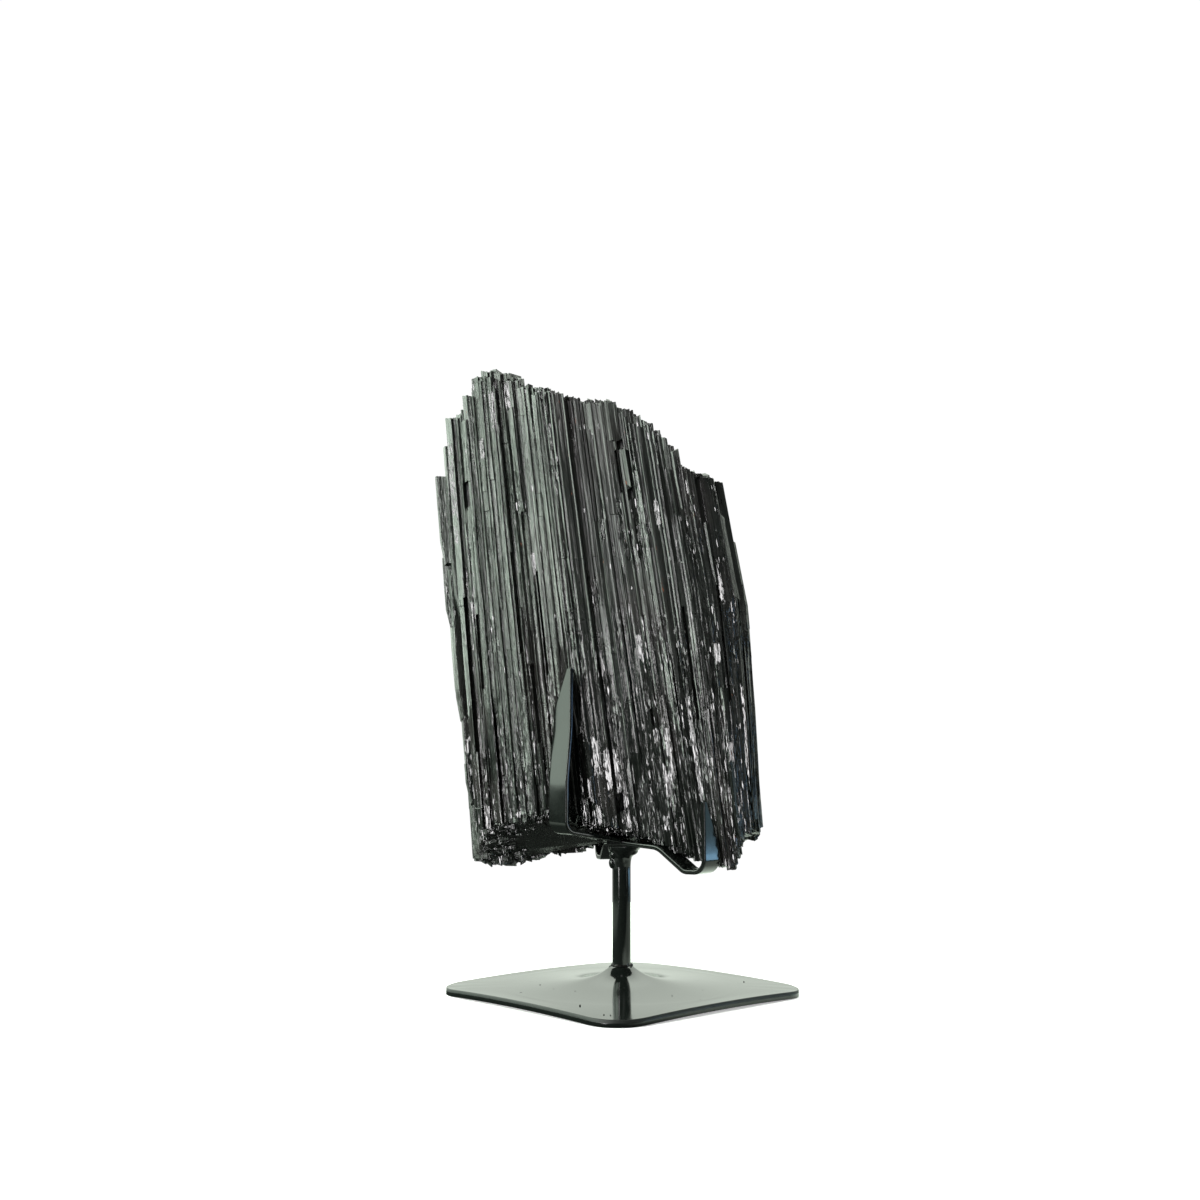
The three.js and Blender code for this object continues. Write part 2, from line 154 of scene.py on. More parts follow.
# Outline of the stone seen from above at LEAN_HEIGHT, as (across, depth), anticlockwise from the left
SECTION = [
    (-78, 18), (-73.5, 4), (-66, -10), (-51, -14.2), (-36, -14.4), (-17, -18.8), (-15.5, -14),
    (0, -15), (14, -17.5), (28, -19.5), (42, -20), (54, -12), (60, 1), (59, 15), (46, 25.5),
    (31, 24.5), (13, 31), (-3, 28), (-21, 32), (-47, 28.5), (-70, 28),
]

# The sound heart inside that outline
HEART_MIDDLE = (-9, 7)
HEART_SHARE = 0.9

# Heights of the column ends from left to right, at the stone's front
CROWN = [
    (-83, 233), (-77, 236), (-76, 247), (-71, 258), (-66, 262), (-61, 268), (-58, 273), (-55, 278.5),
    (-50, 278), (-46, 274), (-40, 276), (-37, 278), (-33, 277), (-31, 273.5), (-20, 270.5),
    (-10, 268), (0, 265.5), (11, 265), (13, 262.5), (20, 260.5), (26, 255.5), (30, 253),
    (38, 242.5), (39.5, 233.5), (45, 231.5), (58, 228.5), (59.3, 206), (62, 203),
]

# The right-hand side draws in below the middle: how far it reaches at each height
RIGHT_REACH = [(60, 46.5), (76, 47.5), (97, 50), (120, 53), (146, 56), (172, 59), (234, 59)]
RIGHT_START = 20
RIGHT_EDGE = 60

# How far the broad front face reaches across and back
FRONT_LEFT = -66
FRONT_RIGHT = 50
FRONT_LIMIT = 2

# Where the left-hand and right-hand sides begin, and how much the right-hand one is drawn in
LEFT_SIDE = -70
LEFT_SIDE_FRONT = -6
RIGHT_SIDE = 52
RIGHT_INSET = 1.1

# Left of the middle the columns narrow towards their backs, so that steps between them show
NARROW_LEFT = -68
NARROW_RIGHT = -19

# The crown rises this much for each step back; the break's heights are taken across at this level
CROWN_RISE = 0.1
BREAK_LEVEL = 66

# The broken lower end: its heights along the front edge and along the back edge
BREAK_FRONT = [
    (-70, 77), (-55, 75.5), (-31, 78.5), (-13, 73.5), (0, 71.8), (9, 69.5), (17, 66.8),
    (30, 60), (41, 57), (47, 56.6), (52, 55), (56, 60), (60, 67.5), (64, 73),
]
BREAK_BACK = [
    (-68, 55.5), (-57, 54), (-48, 56.6), (-26, 60.2), (-14, 62.4), (0, 66), (20, 66.5), (60, 66),
]

# Which way the column faces look across the front, in degrees: below 0 is to the left
FACING = [(-80, -50), (-66, -36), (-50, -33), (-23, -30), (-19, 2), (5, 7), (30, 7), (60, 14)]

# Columns that stand out: (across, depth, width, thick, lower end, upper end). A lower end of 0 lies
# on the break.
PROUD_COLUMNS = [
    (-80.2, 8, 5, 7, 192, 235),
    (-79.0, 10, 5, 8, 164, 222),
    (-77.2, 9, 5.5, 8, 120, 192),
    (-75.6, 12, 5.5, 9, 84, 126),
    (-75.6, 19, 6, 8, 0, 88),
    (-73.6, 4, 6, 7, 168, 249),
    (-68, -7.5, 7, 6, 0, 260),
    (-58.8, -10, 5, 7, 120, 270),
    (-53, -11.5, 6, 6, 0, 278),
    (-47, -3, 9, 8, 200, 284),
    (-40.5, 2, 7, 8, 210, 283),
    (-41, -11.8, 6, 6, 150, 280),
    (-30, -12.5, 9, 8, 118, 273),
    (-21, -15, 9, 8, 96, 269.5),
    (4, -12, 10, 8, 0, 265),
    (9.2, -15, 4, 7, 246, 264.5),
    (15, -14, 7, 8, 70, 226),
    (24, -16, 7, 8, 0, 253),
    (33, -17, 8, 7, 66, 190),
    (40, -16, 6, 8, 0, 230),
    (49, -12, 7, 8, 90, 229.5),
    (54.5, -3, 6, 7, 150, 229),
    (55.5, 5, 6, 9, 72, 202),
    (-10, -13, 8, 6, 0, 266.5),
    (-3, -13.5, 6, 6, 92, 210),
    (37, 20, 10, 8, 0, 214),
    (21, 24.5, 7, 7, 138, 256),
    (6, 27, 8, 7, 88, 262),
    (-13, 27, 7, 7, 128, 268),
    (-34, 26.5, 9, 8, 0, 238),
    (-58, 25.5, 8, 7, 95, 202),
]

# Single laths that catch the eye on the front: (across, proud, width, facing, lower end, upper end)
FRONT_LATHS = [
    (-69.2, 1.4, 1.8, -10, 208, 240),
    (-71.6, 1.2, 1.3, -10, 234, 256),
    (-75.0, 0.7, 3.6, -40, 168, 231),
    (-66.0, 1.0, 1.2, -11, 176, 198),
    (-38.6, 1.2, 2.8, -30, 226, 275.6),
    (-39.4, 1.5, 3.4, -40, 214, 262),
    (-49.0, 1.1, 3.2, -34, 130, 277),
    (-54.0, 0.8, 3.0, -30, 170, 276),
    (-33.0, 0.9, 2.4, -30, 196, 272),
    (-27.5, 1.1, 2.6, -38, 140, 268),
    (-20.4, 0.9, 2.6, -32, 176, 269),
    (-58.5, 0.5, 3.4, -30, 96, 222),
    (-64.5, 0.7, 2.6, -38, 150, 216),
    (-45.0, 0.9, 2.2, -36, 92, 170),
    (-25.0, 0.9, 1.8, -38, 92, 150),
    (12.3, 1.0, 2.6, -44, 225, 242),
    (9.4, 1.2, 6.0, -4, 246, 264),
    (35.4, 0.8, 1.0, -44, 214, 240),
    (45.6, 1.2, 1.1, -19, 180, 208),
    (22.5, 0.7, 0.9, -17, 198, 210),
    (52.0, 0.9, 2.0, -40, 176, 214),
    (-8.4, 1.1, 1.7, -15, 72, 126),
    (-5.6, 0.9, 2.4, -15, 72, 132),
    (33.5, 1.1, 2.8, -18, 62, 124),
    (29.5, 1.0, 1.6, -18, 96, 150),
    (-15.2, 1.0, 1.6, -14, 106, 150),
    (-12.0, 1.3, 3.0, -15, 90, 105),
    (-11.3, 1.4, 1.6, -15, 140, 150),
    (13.9, 1.3, 1.5, -16.5, 82, 131),
    (19.0, 1.1, 1.1, -17, 104, 146),
    (25.5, 1.2, 1.5, -17.5, 88, 138),
    (32.5, 0.9, 2.6, -30, 66, 120),
    (37.5, 1.2, 1.2, -18, 96, 150),
    (42.5, 1.0, 2.4, -40, 70, 134),
    (3.0, 0.8, 3.0, -12, 76, 92),
    (-2.0, 0.8, 2.8, -30, 110, 166),
    (17.0, 0.6, 2.4, -30, 118, 232),
]

# Hollows where a piece of a column has come away: (across, depth, width, lower, upper)
SLOTS = [
    (-69.5, -8.5, 2.0, 106, 176),
    (-64.6, -10.2, 1.8, 134, 168),
    (-64.9, -10.5, 3.8, 217, 229),
    (-45.5, -15, 1.9, 150, 196),
    (-41.6, -14.6, 2.0, 110, 145),
    (-35.0, -14.6, 1.3, 140, 187),
    (-24.0, -17.2, 2.6, 86, 114),
    (-16.0, -14.6, 8.0, 72, 88),
    (-10.5, -14.6, 5.0, 80, 88),
    (11.5, -17.5, 4.6, 242.5, 246.5),
    (8.9, -16.4, 1.6, 222, 242),
    (13.0, -17.5, 4.0, 219, 224),
    (8.0, -17, 2.0, 117, 125),
    (29, -19.5, 1.8, 120, 170),
    (46.0, -18.2, 4.4, 208, 229),
    (46.5, -17.5, 2.0, 128, 180),
    (-14.5, -14.5, 1.1, 180, 240),
    (18, 29, 3, 110, 190),
    (-41, 30, 3, 120, 230),
]
SLOT_DEPTH = 6

# How many short laths make the sides uneven, where short column ends are tried across and in depth,
# and how deep the finest relief goes
SIDE_LATHS = 90
STUB_ACROSS = (-76, 59)
STUB_DEPTHS = (-17, 31)
STONE_RELIEF = 0.22

# Patches where small facets flash together: (across, level, half width, half height)
FLASHES = [
    (-12, 98, 3, 9), (-18, 104, 1.3, 7), (-22.5, 89, 1, 5), (-20, 79, 1, 4),
    (-11.5, 144, 1.5, 5), (7, 152, 1, 6), (13, 105, 1, 12), (8.5, 113, 1, 3),
    (10.5, 92, 1.2, 5), (25, 101, 1.2, 15), (25, 121, 1, 9), (46, 84, 1.2, 4),
    (53, 94, 1, 13), (44, 106, 1.3, 4), (-8, 81, 1, 7), (-67.5, 77, 1.2, 6),
    (-71.5, 230, 1.7, 17), (-40, 269, 1.3, 6), (42.5, 149, 1.4, 4), (24, 212, 1, 6),
    (7.5, 75, 1.3, 3), (53.5, 122, 1, 11), (48, 182, 1, 9), (-71.5, 205, 1, 4),
    (-48, 262, 1.2, 8), (-55, 244, 1, 5), (-36, 190, 1, 5), (-66, 168, 1, 6),
]

# Lights, in metres: (name, azimuth, distance, height of the lower edge, (width, height), radiance, colour)
LIGHTS = [
    ("panel_left", 158, 1.0, 0.09, (1.0, 0.7), 4.1, (0.84, 1.0, 0.86)),
    ("panel_front_left", 207, 1.0, 0.15, (0.7, 0.67), 9.2, (0.85, 1.0, 0.86)),
    ("panel_right", 25, 0.95, -0.05, (0.3, 0.2), 0.7, (0.5, 0.85, 1.0)),
    ("card_right", 353.5, 0.95, 0.03, (0.08, 0.17), 7.5, (0.33, 0.6, 1.0)),
    ("card_low_right", 22, 0.95, -0.03, (0.34, 0.04), 5.0, (0.35, 0.68, 1.0)),
    ("panel_front_right", 343.5, 1.0, -0.02, (0.14, 0.14), 3.6, (0.93, 1.0, 0.95)),
    ("panel_front", 298, 1.0, 0.16, (0.45, 0.2), 0.9, (0.95, 1.0, 0.95)),
    ("strip_front_left", 238, 0.9, -0.02, (0.13, 0.8), 17.0, (1.0, 0.98, 0.99)),
    ("card_low_left", 143, 0.6, -0.08, (0.14, 0.12), 0.3, (0.9, 1.0, 0.95)),
    ("panel_top", 270, 0.5, 0.9, (0.4, 0.3), 5.0, (1.0, 1.0, 1.0)),
]


# ---------------------------------------------------------------- settings

class StandSettings(bpy.types.PropertyGroup):
    """Finish of the plate, rod and arms."""

    enamel_colour: bpy.props.FloatVectorProperty(
        name="Enamel colour", description="Colour of the black enamel",
        default=(0.004, 0.005, 0.0045), size=3, min=0, max=1, subtype="COLOR")
    enamel_roughness: bpy.props.FloatProperty(
        name="Enamel roughness", description="How blurred the enamel's reflections are",
        default=0.07, min=0, max=1, subtype="FACTOR")
    ripple: bpy.props.FloatProperty(
        name="Ripple", description="Height of the soft waves in the sprayed enamel",
        default=0.00002, min=0, unit="LENGTH", precision=6)


class StoneSettings(bpy.types.PropertyGroup):
    """Column sizes and colours of the tourmaline."""

    column_spacing: bpy.props.FloatProperty(
        name="Column spacing", description="Distance between the main columns around the stone",
        default=4.6 * MM, min=2 * MM, max=12 * MM, unit="LENGTH", precision=4)
    lath_count: bpy.props.IntProperty(
        name="Laths", description="How many thin laths lie on the main columns",
        default=380, min=0, max=1500)
    groove_depth: bpy.props.FloatProperty(
        name="Groove depth", description="Depth of the grooves along the column faces",
        default=0.28 * MM, min=0, max=1 * MM, unit="LENGTH", precision=5)
    stone_colour: bpy.props.FloatVectorProperty(
        name="Stone colour", description="Colour of the clean column faces",
        default=(0.006, 0.0075, 0.0065), size=3, min=0, max=1, subtype="COLOR")
    # This lighter colour is both real wear and the painted sheen on the satin upper left
    worn_and_sheen_colour: bpy.props.FloatVectorProperty(
        name="Worn colour", description="Colour of rubbed and crumbled places",
        default=(0.055, 0.064, 0.055), size=3, min=0, max=1, subtype="COLOR")
    fleck_colour: bpy.props.FloatVectorProperty(
        name="Fleck colour", description="Colour of the few rusty flecks between the columns",
        default=(0.2, 0.06, 0.03), size=3, min=0, max=1, subtype="COLOR")


class StudioSettings(bpy.types.PropertyGroup):
    """Camera, lights and floor."""

    camera_place: bpy.props.FloatVectorProperty(
        name="Camera place", description="Where the camera stands",
        default=(0.0147, -0.5918, 0.0962), size=3, subtype="TRANSLATION", unit="LENGTH")
    camera_tilt: bpy.props.FloatProperty(
        name="Camera tilt", description="How far the camera looks up",
        default=math.radians(7.64), subtype="ANGLE")
    camera_turn: bpy.props.FloatProperty(
        name="Camera turn", description="How far the camera looks to the left",
        default=math.radians(2.35), subtype="ANGLE")
    focal_length: bpy.props.FloatProperty(
        name="Focal length", description="Focal length of the lens on a 36 mm sensor",
        default=39, min=10, subtype="DISTANCE_CAMERA")
    floor_radius: bpy.props.FloatProperty(
        name="Floor radius", description="Radius of the pale floor",
        default=0.42, min=0.1, unit="LENGTH")


# ---------------------------------------------------------------- mesh helpers

def along(points, position):
    """Value of a broken line, given as (position, value) points in rising order."""
    table = np.array(points, dtype=float)
    return np.interp(position, table[:, 0], table[:, 1])


def way(angle):
    """Level unit vector at an angle from X."""
    return np.array([math.cos(angle), math.sin(angle)])


def turned(points, angle):
    """Flat points turned anticlockwise about the origin."""
    c, s = way(angle)
    return points @ np.array([[c, s], [-s, c]])


def ring_faces(rings, count):
    """Faces between rings of equal point count, and a fan from a middle point at each end."""
    faces = []
    for ring in range(rings - 1):
        for i in range(count):
            a = ring * count + i
            b = ring * count + (i + 1) % count
            faces.append((a, b, b + count, a + count))
    low_middle = rings * count
    top = (rings - 1) * count
    for i in range(count):
        after = (i + 1) % count
        faces.append((low_middle, after, i))
        faces.append((low_middle + 1, top + i, top + after))
    return faces


def ringed_mesh(name, rings):
    """Closed mesh through rings, given in millimetres from the lowest, each anticlockwise from above."""
    rings = np.asarray(rings, dtype=float)
    middles = rings[[0, -1]].mean(axis=1)
    points = np.concatenate([rings.reshape(-1, 3), middles]) * MM
    mesh = bpy.data.meshes.new(name)
    mesh.from_pydata(points.tolist(), [], ring_faces(rings.shape[0], rings.shape[1]))
    mesh.update()
    return mesh


def new_object(name, mesh, collection=None):
    """Object at the origin that holds the mesh."""
    made = bpy.data.objects.new(name, mesh)
    (collection or bpy.context.scene.collection).objects.link(made)
    return made


def combined(name, base, parts, operation):
    """Mesh of base joined with, cut by or kept inside the parts, all closed meshes."""
    group = bpy.data.collections.new(name + "_parts")
    bpy.context.scene.collection.children.link(group)
    helpers = [new_object(part.name, part, group) for part in parts]
    holder = new_object(name + "_base", base)
    cut = holder.modifiers.new("combine", "BOOLEAN")
    cut.operation = operation
    cut.operand_type = "COLLECTION"
    cut.collection = group
    cut.solver = "MANIFOLD"
    depsgraph = bpy.context.evaluated_depsgraph_get()
    result = bpy.data.meshes.new_from_object(holder.evaluated_get(depsgraph), depsgraph=depsgraph)
    result.name = name
    for helper in [*helpers, holder]:
        spent = helper.data
        bpy.data.objects.remove(helper)
        bpy.data.meshes.remove(spent)
    bpy.data.collections.remove(group)
    if not result.polygons:
        raise RuntimeError(f"{name}: combining its parts left nothing")
    return result


def largest_piece(mesh):
    """Removes every loose piece of the mesh but the one with the most points."""
    count = len(mesh.vertices)
    edges = np.empty(len(mesh.edges) * 2, dtype=np.int32)
    mesh.edges.foreach_get("vertices", edges)
    edges = edges.reshape(-1, 2)
    label = np.arange(count)
    while True:
        lowest = np.minimum(label[edges[:, 0]], label[edges[:, 1]])
        better = label.copy()
        np.minimum.at(better, edges[:, 0], lowest)
        np.minimum.at(better, edges[:, 1], lowest)
        better = better[better]
        if np.array_equal(better, label):
            break
        label = better
    main = np.bincount(label, minlength=count).argmax()
    keep = label == main
    number = np.cumsum(keep) - 1
    places = np.empty(count * 3, dtype=np.float32)
    mesh.vertices.foreach_get("co", places)
    places = places.reshape(-1, 3)[keep]
    faces = [
        [int(number[v]) for v in face.vertices]
        for face in mesh.polygons
        if keep[face.vertices[0]]
    ]
    kept = bpy.data.meshes.new(mesh.name)
    kept.from_pydata(places.tolist(), [], faces)
    kept.update()
    return kept


def dress(name, mesh, material, node):
    """Makes the piece, gives it its finish and lets it stand for the frame's node, if it has one."""
    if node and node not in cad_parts:
        raise RuntimeError(f"the frame has no node {node}")
    piece = new_object(name, mesh)
    mesh.materials.clear()
    mesh.materials.append(material)
    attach(piece, "root")
    if node:
        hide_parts(node)
    return piece


# ---------------------------------------------------------------- shader helpers

def put(tree, kind, inputs=None, **settings):
    """Adds a node. Inputs are values, or sockets to link from, by name or number."""
    made = tree.nodes.new(kind)
    for key, value in settings.items():
        setattr(made, key, value)
    for key, value in (inputs or {}).items():
        if isinstance(value, bpy.types.NodeSocket):
            tree.links.new(value, made.inputs[key])
        else:
            made.inputs[key].default_value = value
    return made


def tree_of(*values):
    """The node tree that the first socket among the values belongs to."""
    return next(value.id_data for value in values if isinstance(value, bpy.types.NodeSocket))


def maths(operation, *values):
    """Result of a Math node."""
    inputs = dict(enumerate(values))
    return put(tree_of(*values), "ShaderNodeMath", inputs, operation=operation).outputs[0]


def times(first, second):
    """The product of two values."""
    return maths("MULTIPLY", first, second)


def plus(first, second):
    """The sum of two values."""
    return maths("ADD", first, second)


def times_plus(first, second, third):
    """The product of two values and a third value added to it."""
    return maths("MULTIPLY_ADD", first, second, third)


def larger(first, second):
    """The larger of two values."""
    return maths("MAXIMUM", first, second)


def vector_maths(operation, first, second=(0, 0, 0)):
    """Result of a Vector Math node."""
    made = put(tree_of(first), "ShaderNodeVectorMath", {0: first, 1: second}, operation=operation)
    return made.outputs[0]


def spread(value, low, high, to_low=0.0, to_high=1.0):
    """The value mapped smoothly from one range to another."""
    inputs = {"Value": value, 1: low, 2: high, 3: to_low, 4: to_high}
    made = put(tree_of(value), "ShaderNodeMapRange", inputs, interpolation_type="SMOOTHSTEP")
    return made.outputs["Result"]


def blended(share, first, second):
    """Colour between two colours."""
    inputs = {"Factor": share, 6: first, 7: second}
    return put(tree_of(share), "ShaderNodeMix", inputs, data_type="RGBA").outputs[2]


def scaled(vector, factors):
    """The vector stretched by a factor on each axis."""
    return vector_maths("MULTIPLY", vector, factors)


def noise(vector, scale, detail=2.0, roughness=0.5):
    """Noise over the vector."""
    inputs = {"Vector": vector, "Scale": scale, "Detail": detail, "Roughness": roughness}
    return put(tree_of(vector), "ShaderNodeTexNoise", inputs).outputs[0]


def lengthwise(grain, draw, *settings):
    """Noise drawn out along the columns."""
    return noise(scaled(grain, (1, 1, draw)), *settings)


def new_group(name, inputs, outputs):
    """Empty shader node group with named sockets, and its input and output nodes."""
    group = bpy.data.node_groups.new(name, "ShaderNodeTree")
    for label, kind, default in inputs:
        socket = group.interface.new_socket(label, in_out="INPUT", socket_type=kind)
        if default is not None:
            socket.default_value = default
    for label, kind in outputs:
        group.interface.new_socket(label, in_out="OUTPUT", socket_type=kind)
    return group, group.nodes.new("NodeGroupInput"), group.nodes.new("NodeGroupOutput")


def place_group(tree, group, inputs):
    """Places a node group in a material."""
    return put(tree, "ShaderNodeGroup", inputs, node_tree=group)


def new_material(name):
    """Material with a Principled BSDF, and its node tree and shader."""
    material = bpy.data.materials.new(name)
    material.use_nodes = True
    tree = material.node_tree
    return material, tree, tree.nodes["Principled BSDF"]


def dust_group():
    """Fine specks of dust, as a mask and a height."""
    name = "Dust specks"
    if name in bpy.data.node_groups:
        return bpy.data.node_groups[name]
    group, source, sink = new_group(
        name,
        [("Vector", "NodeSocketVector", None), ("Spacing", "NodeSocketFloat", 300.0),
         ("Amount", "NodeSocketFloat", 0.1)],
        [("Mask", "NodeSocketFloat"), ("Height", "NodeSocketFloat")],
    )
    cells = put(group, "ShaderNodeTexVoronoi",
                {"Vector": source.outputs["Vector"], "Scale": source.outputs["Spacing"]})
    choice = put(group, "ShaderNodeSeparateColor", {0: cells.outputs["Color"]})
    chosen = maths("LESS_THAN", choice.outputs[0], source.outputs["Amount"])
    size = times_plus(choice.outputs[1], 0.12, 0.04)
    speck = maths("LESS_THAN", cells.outputs["Distance"], size)
    mask = times(chosen, speck)
    group.links.new(mask, sink.inputs["Mask"])
    group.links.new(times(mask, 0.5), sink.inputs["Height"])
    return group


def patches_group():
    """Large soft patches and small ones in one mask, for colour and roughness that wander."""
    name = "Wandering patches"
    if name in bpy.data.node_groups:
        return bpy.data.node_groups[name]
    group, source, sink = new_group(
        name,
        [("Vector", "NodeSocketVector", None), ("Scale", "NodeSocketFloat", 40.0)],
        [("Large", "NodeSocketFloat"), ("Small", "NodeSocketFloat")],
    )
    vector = source.outputs["Vector"]
    scale = source.outputs["Scale"]
    group.links.new(noise(vector, scale), sink.inputs["Large"])
    fine = noise(vector, times(scale, 6.0), 3.0, 0.6)
    group.links.new(fine, sink.inputs["Small"])
    return group


# ---------------------------------------------------------------- enamel

def grit_grains(place, amount):
    """Mask of single grains of grit that lie far apart."""
    inputs = {"Vector": place, "Scale": 62.0}
    cells = put(tree_of(place), "ShaderNodeTexVoronoi", inputs, voronoi_dimensions="2D")
    choice = put(tree_of(place), "ShaderNodeSeparateColor", {0: cells.outputs["Color"]}).outputs
    size = times_plus(choice[1], 0.014, 0.008)
    grains = maths("LESS_THAN", cells.outputs["Distance"], size)
    return times(grains, maths("LESS_THAN", choice[0], amount))


def bevel_slope(place):
    """Mask of the plate's sloping edges, away from the flare in the middle."""
    tree = tree_of(place)
    normal = put(tree, "ShaderNodeTexCoord").outputs["Normal"]
    upward = put(tree, "ShaderNodeSeparateXYZ", {0: normal}).outputs["Z"]
    slope = times(spread(upward, 0.06, 0.2), spread(upward, 0.75, 0.88, 1.0, 0.0))
    flat_place = scaled(place, (1, 1, 0))
    reach = put(tree, "ShaderNodeVectorMath", {0: flat_place}, operation="LENGTH").outputs["Value"]
    return times(slope, maths("GREATER_THAN", reach, BEVEL_REACH * MM))


def enamel(name, stand, speck_amount, softness=1.0, welds=(), grit=0.0, bevel=0.0, ior=1.47):
    """Gloss black enamel with a soft ripple, specks of dust and grit, duller at welds and bevels."""
    material, tree, shader = new_material(name)
    place = put(tree, "ShaderNodeTexCoord").outputs["Object"]
    patches = place_group(tree, patches_group(), {"Vector": place, "Scale": 45.0})
    specks = place_group(tree, dust_group(), {"Vector": place, "Spacing": 260.0, "Amount": speck_amount})
    large = patches.outputs["Large"]
    small = patches.outputs["Small"]
    deep = (*stand.enamel_colour, 1)
    worn = (*[2.2 * share for share in stand.enamel_colour], 1)
    colour = blended(small, deep, worn)
    colour = blended(specks.outputs["Mask"], colour, (0.02, 0.02, 0.02, 1))
    tree.links.new(colour, shader.inputs["Base Color"])
    base = stand.enamel_roughness * softness
    rough = spread(large, 0.3, 0.7, base * 0.8, base * 1.5)
    rough = times_plus(specks.outputs["Mask"], 0.9, rough)
    rough = times_plus(grit_grains(place, grit), 0.9, rough)
    rough = times_plus(bevel_slope(place), bevel, rough)
    level = put(tree, "ShaderNodeSeparateXYZ", {0: place}).outputs["Z"]
    for middle, half in welds:
        away = maths("ABSOLUTE", maths("SUBTRACT", level, middle * MM))
        rough = plus(rough, spread(away, 0.8 * half * MM, half * MM, 0.12, 0.0))
    tree.links.new(rough, shader.inputs["Roughness"])
    waves = times_plus(small, 0.35, large)
    waves = times_plus(specks.outputs["Height"], 2.0, waves)
    bump = put(tree, "ShaderNodeBump", {"Height": waves, "Strength": 1.0, "Distance": stand.ripple})
    tree.links.new(bump.outputs[0], shader.inputs["Normal"])
    shader.inputs["IOR"].default_value = ior
    return material


def rough_black(name):
    """Dull black, pitted and faintly brown: scale on a weld, or a crumb of stone."""
    material, tree, shader = new_material(name)
    place = put(tree, "ShaderNodeTexCoord").outputs["Object"]
    patches = place_group(tree, patches_group(), {"Vector": place, "Scale": 220.0})
    small = patches.outputs["Small"]
    colour = blended(spread(small, 0.4, 0.7), (0.003, 0.003, 0.003, 1), (0.012, 0.01, 0.008, 1))
    tree.links.new(colour, shader.inputs["Base Color"])
    tree.links.new(spread(patches.outputs["Large"], 0.3, 0.7, 0.35, 0.6), shader.inputs["Roughness"])
    bump = put(tree, "ShaderNodeBump", {"Height": small, "Strength": 1.0, "Distance": 0.00025})
    tree.links.new(bump.outputs[0], shader.inputs["Normal"])
    shader.inputs["Specular IOR Level"].default_value = 0.15
    return material


# ---------------------------------------------------------------- base plate

def plate_outline(corner_steps, edge_steps):
    """Square with round corners, anticlockwise, in the square's own axes."""
    half = PLATE_SIDE / 2 - PLATE_CORNER_RADIUS
    points = []
    for corner in range(4):
        turn = corner * math.pi / 2
        quarter = np.linspace(0, math.pi / 2, corner_steps + 1)
        arc = half + PLATE_CORNER_RADIUS * np.stack([np.cos(quarter), np.sin(quarter)], axis=1)
        straight = np.linspace(half, -half, edge_steps + 1)[1:-1]
        side = np.stack([straight, np.full_like(straight, PLATE_SIDE / 2)], axis=1)
        points.append(turned(np.concatenate([arc, side]), turn))
    return np.concatenate(points)


def edge_rise(points):
    """The plate's edges stand a little higher at their middles than at the corners."""
    from_middle = np.abs(points).min(axis=1) / (PLATE_SIDE / 2) / RISE_SHARE
    return PLATE_EDGE_RISE * np.maximum(0, 1 - from_middle ** 2)


def dome_height(radius):
    """How far the field rises towards the rod."""
    share = 1 - radius / DOME_RADIUS
    return DOME_RISE * share * share / (share + DOME_SOFTNESS)


def plate_mesh():
    """The plate: a bevelled rim, a gently domed field and a tight flare up to the rod."""
    outline = plate_outline(24, 22)
    rise = edge_rise(outline)
    half = PLATE_SIDE / 2
    rings = [
        (0.3, 0 * rise),
        (0.72, 0 * rise),
        (0.86, 0.35 * rise),
        (1 - 1.6 * EDGE_ROUND / half, 0.97 * rise),
    ]
    for angle in np.linspace(-90, 90, 9):
        lean = math.radians(angle)
        inset = EDGE_ROUND * (1 - math.cos(lean))
        if angle <= 0:
            height = EDGE_ROUND * (1 + math.sin(lean))
        else:
            height = PLATE_THICKNESS - EDGE_ROUND * (1 - math.sin(lean))
        rings.append((1 - inset / half, rise + height))
    top = rise + PLATE_THICKNESS
    rings.append((1 - 1.6 * EDGE_ROUND / half, top))
    for scale in (0.97, 0.93, 0.88):
        share = (1 - scale) / 0.12
        rings.append((scale, top + 0.5 * share * (PLATE_EDGE_RISE - rise)))
    body = [np.column_stack([outline * scale, height]) for scale, height in rings]
    reach = np.hypot(outline[:, 0], outline[:, 1])
    level = PLATE_THICKNESS + PLATE_EDGE_RISE
    full = FOOT_HEIGHT + FLARE_LIP - level - dome_height(FOOT_RADIUS)
    for radius in np.geomspace(0.87 * half, FOOT_RADIUS, 84):
        ring = outline * (radius / reach)[:, None]
        height = level + dome_height(radius) + full * math.exp((FOOT_RADIUS - radius) / FLARE_LENGTH)
        body.append(np.column_stack([ring, np.full(len(ring), height)]))
    body.append(np.column_stack([body[-1][:, :2] * ROD_RADIUS / FOOT_RADIUS, body[-1][:, 2] + 1]))
    body = [np.column_stack([turned(ring[:, :2], math.pi / 4), ring[:, 2]]) for ring in body]
    return ringed_mesh("base_plate", body)


def crumb_mesh(plate, rng):
    """Small crumbs of stone that lie on the plate."""
    body = bmesh.new()
    for x, y, size in CRUMBS:
        hit, place, _, _ = plate.ray_cast(Vector((x, y, 40)) * MM, Vector((0, 0, -1)))
        if not hit:
            raise RuntimeError(f"no plate under the crumb at {x}, {y}")
        stretch = Matrix.Diagonal((size * MM, 0.8 * size * MM, 0.75 * size * MM, 1))
        lift = Matrix.Translation(place + Vector((0, 0, 0.6 * size * MM)))
        made = bmesh.ops.create_icosphere(body, subdivisions=2, radius=1, matrix=lift @ stretch)
        for vert in made["verts"]:
            vert.co += Vector(rng.normal(0, 0.1 * size * MM, 3))
    mesh = bpy.data.meshes.new("crumbs")
    body.to_mesh(mesh)
    body.free()
    return mesh


# ---------------------------------------------------------------- rod

